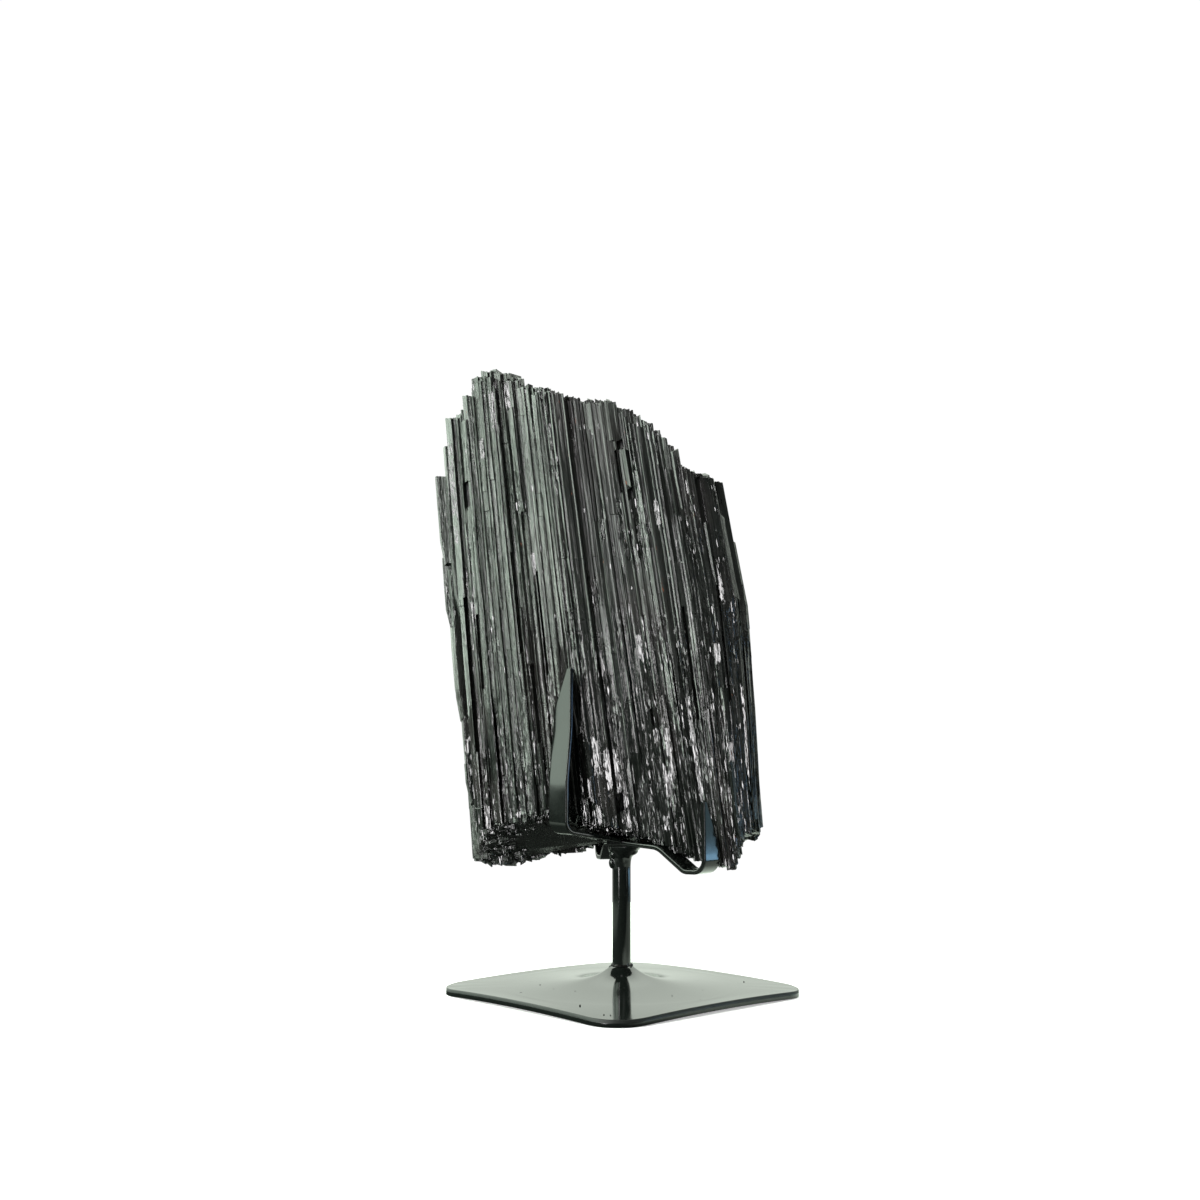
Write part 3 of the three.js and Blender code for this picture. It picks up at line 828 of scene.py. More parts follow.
def rod_mesh(rng):
    """The rod, with a weld collar and a web of weld under the arms."""
    sides = 96
    heights = np.concatenate([
        np.linspace(ROD_FOOT, ROD_TOP - 14, 14),
        np.linspace(ROD_TOP - 13, ROD_TOP, 44),
    ])
    profile = [
        (ROD_FOOT, ROD_RADIUS),
        (ROD_TOP - 9, ROD_RADIUS), (ROD_TOP - 5, ROD_RADIUS + 0.5),
        (ROD_TOP - 1.5, ROD_RADIUS + 1.9), (ROD_TOP, ROD_RADIUS + 2.1),
    ]
    angles = np.linspace(0, 2 * math.pi, sides, endpoint=False)
    out = np.stack([np.cos(angles), np.sin(angles)], axis=1)
    phases = rng.uniform(0, 2 * math.pi, 6)
    rings = []
    for height in heights:
        radius = np.full(sides, along(profile, height))
        weld = np.clip((height - (ROD_TOP - 10)) / 5, 0, 1)
        lumps = 0.5 * np.sin(3 * angles + 0.4 * height + phases[0])
        lumps += 0.35 * np.sin(5 * angles - 0.7 * height + phases[1])
        lumps += 0.3 * np.sin(8 * angles + 1.2 * height + phases[2])
        radius += 0.22 * weld * lumps
        web = np.clip((height - (ROD_TOP - WEB_DEPTH)) / WEB_DEPTH, 0, 1) ** 2
        radius += WEB_REACH * web * np.clip(np.cos(angles - WEB_HEADING), 0, 1) ** 3
        for x, y, below, size, squash in WELD_DROPS:
            level = (height - (ROD_TOP - below)) / squash
            inside = size ** 2 - level ** 2
            nearest = out @ np.array([x, y])
            miss = x * x + y * y - nearest ** 2
            chord = np.sqrt(np.maximum(inside - miss, 0))
            radius = np.where((inside > miss) & (nearest > 0), np.maximum(radius, nearest + chord), radius)
        rings.append(np.column_stack([out * radius[:, None], np.full(sides, height)]))
    return ringed_mesh("rod", rings)


def foot_bead_mesh(rng):
    """Two rough beads of weld around the rod's foot."""
    around, sides = 72, 12
    angles = np.linspace(0, 2 * math.pi, around, endpoint=False)
    turns = np.linspace(0, 2 * math.pi, sides, endpoint=False)
    points = []
    faces = []
    for height, reach, size in FOOT_BEADS:
        phases = rng.uniform(0, 2 * math.pi, 4)
        lumps = 0.5 * np.sin(3 * angles + phases[0]) + 0.35 * np.sin(7 * angles + phases[1])
        lumps += 0.25 * np.sin(13 * angles + phases[2])
        thick = size * (1 + 0.3 * lumps)[:, None]
        out = reach + 0.2 * lumps[:, None] + thick * np.cos(turns)
        level = height + 0.15 * np.sin(2 * angles + phases[3])[:, None] + 0.85 * thick * np.sin(turns)
        start = len(points)
        ring = np.stack([out * np.cos(angles)[:, None], out * np.sin(angles)[:, None], level], axis=-1)
        points += (ring.reshape(-1, 3) * MM).tolist()
        for i in range(around):
            for j in range(sides):
                here, ahead = start + i * sides, start + (i + 1) % around * sides
                faces.append((here + j, ahead + j, ahead + (j + 1) % sides, here + (j + 1) % sides))
    mesh = bpy.data.meshes.new("foot_bead")
    mesh.from_pydata(points, [], faces)
    mesh.update()
    return mesh


# ---------------------------------------------------------------- arms

def bent_line(corners, degrees_per_step=6):
    """Centre line of a bent bar through corner points (reach, height, bend radius)."""
    line = [np.array(corners[0][:2], dtype=float)]
    for before, here, after in zip(corners, corners[1:], corners[2:]):
        middle = np.array(here[:2], dtype=float)
        incoming = middle - before[:2]
        incoming /= np.linalg.norm(incoming)
        outgoing = np.array(after[:2], dtype=float) - middle
        outgoing /= np.linalg.norm(outgoing)
        turn = math.acos(np.clip(incoming @ outgoing, -1, 1))
        side = np.sign(incoming[0] * outgoing[1] - incoming[1] * outgoing[0])
        start = middle - incoming * here[2] * math.tan(turn / 2)
        centre = start + side * here[2] * np.array([-incoming[1], incoming[0]])
        steps = max(3, round(math.degrees(turn) / degrees_per_step))
        for step in range(steps + 1):
            line.append(centre + turned(start - centre, side * turn * step / steps))
    line.append(np.array(corners[-1][:2], dtype=float))
    return line


def refined(line, spacing):
    """The line with points added so that none lie further apart than the spacing."""
    fine = [line[0]]
    for a, b in zip(line, line[1:]):
        steps = max(1, math.ceil(np.linalg.norm(b - a) / spacing))
        fine += [a + (b - a) * step / steps for step in range(1, steps + 1)]
    return fine


def bar_section(low, high, thickness, round_off):
    """Section of the bar with rounded edges, as (across, outward) points."""
    middle = (low + high) / 2
    half = max((high - low) / 2, round_off + 0.05)
    thin = thickness / 2
    flat = min(0.5, 0.5 * (half - round_off))
    points = []
    for across_side, out_side in ((1, 1), (-1, 1), (-1, -1), (1, -1)):
        corner = []
        for step in range(4):
            angle = math.pi / 2 * step / 3
            corner.append((
                middle + across_side * (half - round_off * (1 - math.cos(angle))),
                out_side * (thin - round_off * (1 - math.sin(angle))),
            ))
        corner.append((middle + across_side * (half - round_off - flat), out_side * thin))
        points += corner if across_side == out_side else corner[::-1]
    return np.array(points)


def arm_body(name, arm, grow=0.0):
    """The bent bar with its pointed tip, from the stand's axis outwards, before its mitre."""
    line = refined(bent_line(arm["corners"]), 3.0)
    angle = math.radians(arm["heading"])
    reach_way = np.array([math.cos(angle), math.sin(angle), 0])
    across_way = np.array([math.sin(angle), -math.cos(angle), 0])
    up = np.array([0, 0, 1])
    rings = []
    for i, point in enumerate(line):
        ahead = line[min(i + 1, len(line) - 1)] - line[max(i - 1, 0)]
        ahead /= np.linalg.norm(ahead)
        outward = np.array([ahead[1], -ahead[0]])
        low, high = -BAR_WIDTH / 2 - grow, BAR_WIDTH / 2 + grow
        upright = i > len(line) / 3
        if upright and arm["cut_side"] > 0:
            high = min(high, along(arm["tip"], point[1]) + grow)
        elif upright:
            low = max(low, along(arm["tip"], point[1]) - grow)
        section = bar_section(low, high, BAR_THICKNESS + 2 * grow, 0.4)
        twist = math.radians(arm.get("twist", 0)) * min(1, max(0, 6 * i / len(line) - 2))
        section = turned(section, -twist)
        flat = point + section[:, 1:] * outward
        ring = flat[:, :1] * reach_way + flat[:, 1:] * up + section[:, :1] * across_way
        rings.append(ring)
    return ringed_mesh(name, rings)


def mitre_wedge(name, sector):
    """Prism over the sector around the stand's axis that an arm keeps to."""
    start, end = (math.radians(value) for value in sector)
    middle = (start + end) / 2
    back = (JOIN_GAP / 2) / math.sin((end - start) / 2)
    apex = way(middle) * back
    outer = [apex + WEDGE_REACH * way(angle) for angle in (start, middle, end)]
    flat = np.array([apex, *outer])
    rings = [np.column_stack([flat, np.full(4, float(height))]) for height in (0, WEDGE_HEIGHT)]
    return ringed_mesh(name, rings)


# ---------------------------------------------------------------- stone

def right_reach(height):
    """How far the right-hand side reaches at each height, against its full reach."""
    return (along(RIGHT_REACH, height) - RIGHT_START) / (RIGHT_EDGE - RIGHT_START)


def leaning(points):
    """From (across, depth, height) to places in space: the stone leans and fans out downwards."""
    across, depth, height = np.moveaxis(np.asarray(points, dtype=float), -1, 0)
    slope = LEAN_MIDDLE + LEAN_SPREAD * across
    drawn = RIGHT_START + (across - RIGHT_START) * right_reach(height)
    drawn = np.where(across > RIGHT_START, drawn, across)
    return np.stack([drawn - slope * (height - LEAN_HEIGHT), depth, height], axis=-1)


def upright(places):
    """From places in space back to (across, depth, height) of the stone's own columns."""
    x, depth, height = np.moveaxis(np.asarray(places, dtype=float), -1, 0)
    across = x.copy()
    reach = right_reach(height)
    for _ in range(8):
        drawn = x + (LEAN_MIDDLE + LEAN_SPREAD * across) * (height - LEAN_HEIGHT)
        across = np.where(drawn > RIGHT_START, RIGHT_START + (drawn - RIGHT_START) / reach, drawn)
    return np.stack([across, depth, height], axis=-1)


def break_height(across, depth):
    """Height of the broken lower end."""
    x = across + (LEAN_MIDDLE + LEAN_SPREAD * across) * (LEAN_HEIGHT - BREAK_LEVEL)
    share = np.clip((depth - STONE_FRONT) / (BREAK_BACK_DEPTH - STONE_FRONT), 0, 1)
    return along(BREAK_FRONT, x) * (1 - share) + along(BREAK_BACK, x) * share


def crown_height(across, depth):
    """Height of the column ends at the top."""
    return along(CROWN, across) + CROWN_RISE * (depth - STONE_FRONT)


def lowest_crown(place, width):
    """Height of the column ends at the lower side of a column."""
    sides = [crown_height(place[0] + shift, place[1]) for shift in (-0.5 * width, 0.5 * width)]
    return min(sides)


def outline_stations(rng, spacing, unevenness=0.0):
    """Points along the stone's outline, as (place, way out of the stone, room up to the next)."""
    corners = np.array([*SECTION, SECTION[0]], dtype=float)
    stations = []
    carried = spacing / 2
    for a, b in zip(corners, corners[1:]):
        length = np.linalg.norm(b - a)
        heading = math.atan2(-(b - a)[0], (b - a)[1])
        while carried < length:
            room = spacing * rng.uniform(1 - unevenness, 1 + unevenness)
            stations.append((a + (b - a) * carried / length, heading, room))
            carried += room
        carried -= length
    return stations


def in_section(across, depth):
    """Whether a point lies inside the stone's outline."""
    inside = False
    for (x0, y0), (x1, y1) in zip(SECTION, [*SECTION[1:], SECTION[0]]):
        if (y0 > depth) != (y1 > depth) and across < (x1 - x0) * (depth - y0) / (y1 - y0) + x0:
            inside = not inside
    return inside


class Column:
    """One striated column: where it stands, which way it faces and how it is grooved."""

    def __init__(self, face, heading, width, thick, lower, upper, groove, pitch=0.8, spacing=11.0,
                 sunk_ends=(0.0, 0.0), wedge=0.8):
        self.face = np.asarray(face, dtype=float)
        self.heading = heading
        self.width = width
        self.thick = thick
        self.lower = lower
        self.upper = upper
        self.groove = groove
        self.pitch = pitch
        self.spacing = spacing
        self.sunk_ends = sunk_ends
        self.wedge = wedge

    def section(self, rng):
        """(along the face, outward) points, the striated face first, seen clockwise."""
        half = self.width / 2
        steps = max(2, round(self.width / self.pitch))
        edge = 0.1 * self.width
        groove = self.groove * rng.uniform(0.2, 1.25)
        across = np.linspace(-half + 0.5 * edge, half - 0.5 * edge, steps + 1)
        across[1:-1] += rng.uniform(-0.28, 0.28, steps - 1) * self.width / steps
        swell = np.cumsum(rng.normal(0, 0.07, steps + 1))
        relief = swell - swell.mean() - groove * rng.random(steps + 1) ** 1.6
        relief[rng.random(steps + 1) < 0.1] -= 1.3 * groove
        face = np.column_stack([across, relief])
        drops = edge * np.where(rng.random(2) < 0.25, rng.uniform(0.8, 2, 2), rng.uniform(0.1, 0.6, 2))
        left = [-half, relief[0] - drops[0]]
        right = [half, relief[-1] - drops[1]]
        back = [[self.wedge * half, -self.thick], [-0.8 * half, -self.thick]]
        return np.vstack([left, face, right, back])

    def mesh(self, name, rng, jagged=0.6, slope=0.35, ledges=0.0):
        """Closed mesh of the column, its ends broken off unevenly."""
        section = self.section(rng)
        out = way(self.heading)
        tangent = np.array([-out[1], out[0]])
        levels = [0.0]
        length = self.upper - self.lower
        while levels[-1] < 1 - 0.6 * self.spacing / length:
            levels.append(levels[-1] + rng.uniform(0.7, 1.3) * self.spacing / length)
        levels[-1] = 1.0
        if len(levels) < 2:
            levels = [0.0, 1.0]
        end_slopes = rng.uniform(-slope, slope, (2, 2))
        roughs = jagged * (0.5 * np.cumsum(rng.normal(0, 0.6, (2, len(section))), axis=1)
                           + rng.uniform(-0.35, 0.35, (2, len(section))))
        roughs -= roughs.mean(axis=1)[:, None]
        drift = np.zeros(2)
        rings = []
        for level in levels:
            drift = 0.7 * drift + rng.normal(0, (0.09, 0.07))
            step = rng.uniform(-0.5, 0.35) if rng.random() < ledges else 0.0
            for shift in ((0.0,) if step == 0 or level in (0.0, 1.0) else (0.0, 0.35)):
                if shift:
                    drift = drift + np.array([0.0, step])
                points = section + drift
                flat = self.face + points[:, :1] * tangent + points[:, 1:] * out
                height = np.full(len(flat), self.lower + level * length + shift)
                if level in (0.0, 1.0):
                    end = int(level)
                    flat = flat - self.sunk_ends[end] * out
                    height += end_slopes[end][0] * section[:, 0] + end_slopes[end][1] * section[:, 1]
                    height += roughs[end]
                rings.append(leaning(np.column_stack([flat, height])))
        return ringed_mesh(name, rings)


def slot_cutter(name, slot):
    """Tapered prism, wide at the stone's face and narrow inside it."""
    across, depth, width, lower, upper = slot
    inside = 1 if depth < 0 else -1
    narrow = 0.5
    flat = np.array([(-1, -inside), (1, -inside), (narrow, inside), (-narrow, inside)], dtype=float)
    if inside < 0:
        flat = flat[::-1]
    flat = flat * (width / 2, SLOT_DEPTH / 2) + (across, depth)
    lean = 0.5 * (flat[:, 0] - across)
    rings = [leaning(np.column_stack([flat, height + lean])) for height in (lower, upper)]
    return ringed_mesh(name, rings)


def stone_heart():
    """The sound inside of the stone, which the outer columns grow on."""
    middle = np.array(HEART_MIDDLE)
    flat = middle + HEART_SHARE * (np.array(SECTION) - middle)
    lower = break_height(flat[:, 0], flat[:, 1]) + 2
    upper = crown_height(flat[:, 0], flat[:, 1]) - 6
    levels = (lower, np.full(len(flat), float(LEAN_HEIGHT)), upper)
    return ringed_mesh("heart", [leaning(np.column_stack([flat, level])) for level in levels])


def set_out(place, heading, offset):
    """The place moved outwards, a little less so on the right-hand side."""
    return place + way(heading) * (offset - (RIGHT_INSET if place[0] > RIGHT_SIDE else 0.0))


def main_columns(rng, spacing, groove):
    """Full-height columns side by side all around the stone."""
    columns = []
    for place, heading, room in outline_stations(rng, spacing, 0.55):
        width = room * rng.uniform(1.3, 1.9)
        front = place[1] < FRONT_LIMIT
        lean_way = along(FACING, place[0]) if front else 0.0
        unlike = 11 if rng.random() < 0.3 else 4
        turn = math.radians(lean_way + rng.normal(0, unlike)) if front else math.radians(rng.normal(0, 12))
        facing = -math.pi / 2 + turn if front else heading + turn
        if place[0] > FRONT_RIGHT:
            facing = heading + math.radians(rng.normal(0, 12))
        if place[0] < LEFT_SIDE and place[1] > LEFT_SIDE_FRONT:
            facing = heading + math.radians(rng.normal(0, 9))
        face = set_out(place, heading, rng.uniform(-0.8, 0.2))
        columns.append(Column(
            face, facing, width, rng.uniform(8, 11),
            break_height(*place) + rng.uniform(1.2, 3.5),
            lowest_crown(place, width) - rng.uniform(0, 2.2), groove,
            wedge=-0.6 if front and NARROW_LEFT < place[0] < NARROW_RIGHT else 0.8))
    return columns


def fringe(rng, at_top, groove):
    """Narrow laths side by side that end at the crown or at the break."""
    columns = []
    for place, heading, room in outline_stations(rng, 1.9, 0.6):
        width = room * rng.uniform(1.2, 1.9)
        length = rng.uniform(7, 34)
        facing = heading + math.radians(rng.normal(0, 9))
        if place[1] < FRONT_LIMIT and FRONT_LEFT < place[0] < FRONT_RIGHT:
            facing = -math.pi / 2 + math.radians(along(FACING, place[0]) + rng.normal(0, 9))
        face = set_out(place, heading, rng.uniform(-0.9, 0.1))
        if at_top:
            upper = lowest_crown(place, width) + rng.uniform(-0.7, 0.9)
            ends = (upper - length, upper)
            sunk = (1.4, 0.0)
        else:
            lower = break_height(*place) + rng.uniform(-0.1, 1.7)
            ends = (lower, lower + length)
            sunk = (0.0, 1.4)
        columns.append(Column(face, facing, width, rng.uniform(3, 5), *ends, groove, 0.7, 12, sunk))
    return columns


def proud_columns(rng, groove):
    """Each column that stands out, as two or three laths grown together."""
    columns = []
    for across, depth, width, thick, lower, upper in PROUD_COLUMNS:
        count = max(2, round(width / 3))
        for i in range(count):
            share = (i + 0.5) / count - 0.5
            sideways = depth > 2 and abs(across + 9) > 60
            shift = (0, share * thick) if sideways else (share * width, 0)
            place = np.array([across, depth]) + shift
            outward = -1 if depth < 16 else 1
            facing = -math.pi / 2 + math.radians(along(FACING, across) + rng.normal(0, 10))
            if outward > 0:
                facing = math.pi / 2 + math.radians(rng.normal(0, 14))
            if sideways:
                facing = (math.pi if across < 0 else 0) + math.radians(rng.normal(0, 14))
            half = width / 2 - 0.4 if sideways else thick / 2
            face = place + way(facing) * (half + rng.uniform(-0.7, 0.3))
            start = lower or break_height(*place) + rng.uniform(-0.5, 2)
            sunk = (1.6 * (lower > 0 and upper - lower > 25), 0.0)
            columns.append(Column(
                face, facing, (thick if sideways else width) / count * rng.uniform(1.15, 1.5), thick + 2,
                start + rng.uniform(-1.5, 1.5), upper + rng.uniform(-1.4, 0.2), groove,
                sunk_ends=sunk, wedge=-0.2 if depth < 0 and across < NARROW_RIGHT else 0.8))
    return columns


def thin_laths(rng, count, groove):
    """Thin laths of every length that lie on the main columns."""
    stations = outline_stations(rng, 0.7)
    columns = []
    while len(columns) < count:
        place, heading, _ = stations[rng.integers(len(stations))]
        front = place[1] < FRONT_LIMIT
        if not front and rng.random() < 0.35:
            continue
        width = 0.7 + 2.6 * rng.random() ** 1.5
        low = break_height(*place) + 1
        high = crown_height(*place)
        length = min(rng.uniform(14, 60) * rng.uniform(1, 2.6), high - low)
        lower = rng.uniform(low - 6, high - length + 4)
        lower = max(lower, low)
        upper = min(lower + length, lowest_crown(place, width) - rng.uniform(0.2, 2.4))
        if upper - lower < 8:
            continue
        facing = heading + math.radians(rng.normal(0, 12))
        if front and FRONT_LEFT < place[0] < FRONT_RIGHT:
            lit_way = -14 if place[0] > -15 and upper < 150 else 0
            scatter = 15 if upper < 150 or place[0] < -22 else 8
            turn = along(FACING, place[0]) + lit_way + rng.normal(0, scatter)
            facing = -math.pi / 2 + math.radians(turn)
        face = place + way(heading) * (0.5 * rng.random() ** 2 - 0.3 + 0.6 * (rng.random() < 0.1))
        sunk = (1.3 * (rng.random() < 0.75), 1.3 * (rng.random() < 0.6))
        columns.append(Column(
            face, facing, width, rng.uniform(3, 5), lower, upper, 0.6 * groove, 0.7, 14, sunk))
    return columns


def side_laths(rng, count, groove):
    """Short laths that make the left and right sides uneven."""
    stations = [station for station in outline_stations(rng, 0.7)
                if station[0][0] > RIGHT_SIDE - 1 or station[0][0] < LEFT_SIDE - 1]
    columns = []
    while len(columns) < count:
        place, heading, _ = stations[rng.integers(len(stations))]
        low, high = break_height(*place) + 1, crown_height(*place) - 1
        length = rng.uniform(3, 15)
        lower = rng.uniform(low, high - length)
        face = set_out(place, heading, rng.uniform(-0.4, 0.7))
        columns.append(Column(
            face, heading + math.radians(rng.normal(0, 14)), rng.uniform(1.2, 3.4), 4, lower,
            lower + length, 0.6 * groove, 0.7, 14))
    return columns


def front_laths(groove):
    """The laths named in the table, on the front."""
    columns = []
    for across, proud, width, facing, lower, upper in FRONT_LATHS:
        depth = front_depth(across) - proud
        heading = -math.pi / 2 + math.radians(facing)
        columns.append(Column(
            (across, depth), heading, width, 5, lower, upper, 0.5 * groove, 0.9, 12, (0.6, 0.2)))
    return columns


def front_depth(across):
    """Depth of the front outline at a place across the stone."""
    front = [point for point in SECTION if point[1] < FRONT_LIMIT or point[0] < LEFT_SIDE - 2]
    return along(sorted(front), across)


def stub_columns(rng, at_top):
    """Short column ends: a fine crumbly set on the break, a coarser one on the crown."""
    across_step, depth_step = (4.6, 3.6) if at_top else (3.6, 2.0)
    columns = []
    for across in np.arange(*STUB_ACROSS, across_step):
        for depth in np.arange(*STUB_DEPTHS, depth_step):
            place = np.array([across, depth]) + rng.uniform(-0.4, 0.4, 2) * (across_step, depth_step)
            width = across_step * rng.uniform(1.1, 1.9)
            thick = depth_step * rng.uniform(1.2, 2.0)
            facing = -math.pi / 2 + math.radians(rng.normal(-8, 16))
            corners = [(place[0] + side * width / 2, place[1] + back)
                       for side in (-1, 1) for back in (0, thick)]
            if not all(in_section(*corner) for corner in corners):
                continue
            if at_top:
                level = lowest_crown(place, width) + rng.uniform(-5.5, -0.8)
                ends = (level - 14, level)
            else:
                level = break_height(*place) + rng.uniform(0, 2.2)
                ends = (level, level + 12)
            columns.append(Column(place, facing, width, thick, *ends, 0.1, 2.4, 20))
    return columns


def stone_mesh(stone):
    """All columns grown together in one body, less the slots and the room for the arms."""
    rng = np.random.default_rng(STONE_SEED)
    groove = stone.groove_depth / MM
    parts = []
    sets = [
        (main_columns(rng, stone.column_spacing / MM, groove), 0.7, 0.3, 0.22),
        (proud_columns(rng, groove), 0.7, 0.3, 0.18),
        (thin_laths(rng, stone.lath_count, groove), 0.8, 0.9, 0.12),
        (side_laths(rng, SIDE_LATHS, groove), 0.6, 0.5, 0.0),
        (fringe(rng, True, groove), 0.6, 0.5, 0.0),
        (fringe(rng, False, groove), 0.6, 0.5, 0.0),
        (front_laths(groove), 0.5, 0.5, 0.0),
        (stub_columns(rng, False), 0.5, 0.4, 0.0),
        (stub_columns(rng, True), 0.5, 0.3, 0.0),
    ]
    for columns, jagged, slope, ledges in sets:
        parts += [
            column.mesh(f"column_{len(parts) + i}", rng, jagged, slope, ledges)
            for i, column in enumerate(columns)
        ]
    body = combined("tourmaline_bundle", stone_heart(), parts, "UNION")
    cutters = [slot_cutter(f"slot_{i}", slot) for i, slot in enumerate(SLOTS)]
    cutters += [arm_body(f"room_{name}", arm, JOIN_GAP) for name, arm in ARMS.items()]
    body = largest_piece(combined("tourmaline", body, cutters, "DIFFERENCE"))
    places = np.empty(len(body.vertices) * 3, dtype=np.float32)
    body.vertices.foreach_get("co", places)
    places = places.reshape(-1, 3)
    low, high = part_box("tourmaline")
    places = np.clip(places, np.array(low), np.array(high))
    body.vertices.foreach_set("co", places.ravel())
    grain = body.attributes.new("grain", "FLOAT_VECTOR", "POINT")
    grain.data.foreach_set("vector", upright(places / MM).astype(np.float32).ravel())
    body.update()
    return body


def cell_tilt(cells, amounts, share):
    """Tilt of the normal that is the same all over each cell of a Voronoi texture."""
    tilt = vector_maths("SUBTRACT", cells.outputs["Color"], (0.5, 0.5, 0.5))
    tilt = scaled(tilt, amounts)
    made = put(tree_of(tilt), "ShaderNodeVectorMath", {0: tilt, "Scale": share}, operation="SCALE")
    return made.outputs[0]


def flash_patches(across, level, grain):
    """Mask of the patches in the table, with ragged edges."""
    ragged = lengthwise(grain, 0.3, 1.1, 2.0, 0.6)
    nearest = 9.0
    for x, z, half_width, half_height in FLASHES:
        sideways = times_plus(across, 1 / half_width, -x / half_width)
        upward = times_plus(level, 1 / half_height, -z / half_height)
        away = larger(maths("ABSOLUTE", sideways), maths("ABSOLUTE", upward))
        nearest = maths("MINIMUM", away, nearest)
    nearest = times_plus(ragged, 1.6, maths("SUBTRACT", nearest, 0.8))
    return maths("LESS_THAN", nearest, 1.0)


class StoneSurface:
    """The stone's kinds of surface as masks, and what each of them does to its look."""

    def __init__(self, tree):
        self.tree = tree
        self.grain = put(tree, "ShaderNodeAttribute", attribute_name="grain").outputs["Vector"]
        self.normal = put(tree, "ShaderNodeNewGeometry").outputs["True Normal"]
        parts = put(tree, "ShaderNodeSeparateXYZ", {0: self.grain}).outputs
        self.across = parts["X"]
        self.level = parts["Z"]
        self.fine = lengthwise(self.grain, 0.03, 2.6, 2.0, 0.6)
        self.medium = lengthwise(self.grain, 0.05, 0.9, 2.0, 0.6)
        self.pits = lengthwise(self.grain, 0.28, 1.3, 4.0, 0.65)
        self.mottle = lengthwise(self.grain, 0.28, 1.3, 3.0, 0.75)
        self.chips = self.facets(0.17, 2.3)
        self.chip_pick = put(tree, "ShaderNodeSeparateColor", {0: self.chips.outputs["Color"]}).outputs[2]
        upward = put(tree, "ShaderNodeSeparateXYZ", {0: self.normal}).outputs["Z"]
        self.ends = spread(maths("ABSOLUTE", upward), 0.35, 0.7)
        self.calm = maths("SUBTRACT", 1.0, self.ends)
        self.low_right = plus(spread(self.level, 60, 150, 0.09, 0.0),
                              spread(self.across, -40, 60, -0.01, 0.05))
        self.crust = self.crusts()
        self.satin = self.satin_skin()
        self.quiet = self.quiet_crown()
        self.glint = self.glints()
        self.flat = times_plus(self.glint, -0.92, 1.0)

    def facets(self, draw, scale):
        """Cells drawn out along the columns, each of which turns the light its own way."""
        inputs = {"Vector": scaled(self.grain, (1, 1, draw)), "Scale": scale}
        return put(self.tree, "ShaderNodeTexVoronoi", inputs)

    def crusts(self):
        """Crusts of tiny facets: in long patches, more of them low down and to the right."""
        place = lengthwise(self.grain, 0.16, 0.13, 3.0, 0.6)
        return spread(plus(place, self.low_right), 0.56, 0.62)

    def satin_skin(self):
        """Satin skin at the upper left, which the colour also lightens as a painted sheen."""
        satin = plus(spread(self.across, -60, -8, 1.0, 0.0), spread(self.level, 90, 180, -0.5, 0.2))
        soft_place = lengthwise(self.grain, 0.2, 0.06, 2.0, 0.5)
        satin = plus(satin, spread(soft_place, 0.3, 0.7, -0.5, 0.5))
        return times(spread(satin, 0.2, 0.8), self.calm)

    def quiet_crown(self):
        """Plainer columns high up, from the middle to the right."""
        quiet = times(spread(self.level, 145, 195), spread(self.across, -30, -10))
        return times(quiet, spread(self.across, 15, 35, 1.0, 0.55))

    def glints(self):
        """Small facets that flash together: in veins, in patches and a few in the crusts."""
        veins = lengthwise(self.grain, 0.045, 0.5, 3.0, 0.65)
        veins = plus(veins, times(self.low_right, 0.6))
        veins = plus(veins, spread(self.level, 150, 200, 0.0, -0.08))
        pick = times_plus(spread(veins, 0.6, 0.68), 0.3, self.chip_pick)
        pick = times_plus(flash_patches(self.across, self.level, self.grain), 0.75, pick)
        pick = times_plus(self.crust, 0.012, pick)
        return times(maths("GREATER_THAN", pick, 0.995), self.calm)

    def facet_normal(self):
        """The normal, turned from one strip, chip or plank to the next, and one way in the glints."""
        chip_share = larger(self.crust, times(self.ends, 0.8))
        chip_share = larger(chip_share, times(self.satin, 0.34))
        chip_share = times(chip_share, self.flat)
        strip_share = times(self.calm, times_plus(self.satin, -0.15, 1.0))
        strip_share = times(strip_share, times_plus(self.quiet, -0.3, 1.0))
        strip_share = times(strip_share, self.flat)
        tilted = self.normal
        for cells, amounts, share in (
            (self.facets(0.03, 0.9), (0.26, 0.2, 0.1), strip_share),
            (self.chips, (0.6, 0.4, 0.45), chip_share),
            (self.facets(0.1, 0.3), (0.3, 0.1, 0.06), strip_share),
        ):
            tilted = vector_maths("ADD", tilted, cell_tilt(cells, amounts, share))
        inputs = {"X": times_plus(self.across, -0.00123, -0.2645), "Y": -0.965}
        shared_way = put(self.tree, "ShaderNodeCombineXYZ", inputs).outputs[0]
        shared_way = vector_maths("ADD", shared_way, cell_tilt(self.chips, (0.13, 0.0, 0.16), 1.0))
        ways = {"Factor": self.glint, 4: tilted, 5: shared_way}
        tilted = put(self.tree, "ShaderNodeMix", ways, data_type="VECTOR").outputs[1]
        return vector_maths("NORMALIZE", tilted)

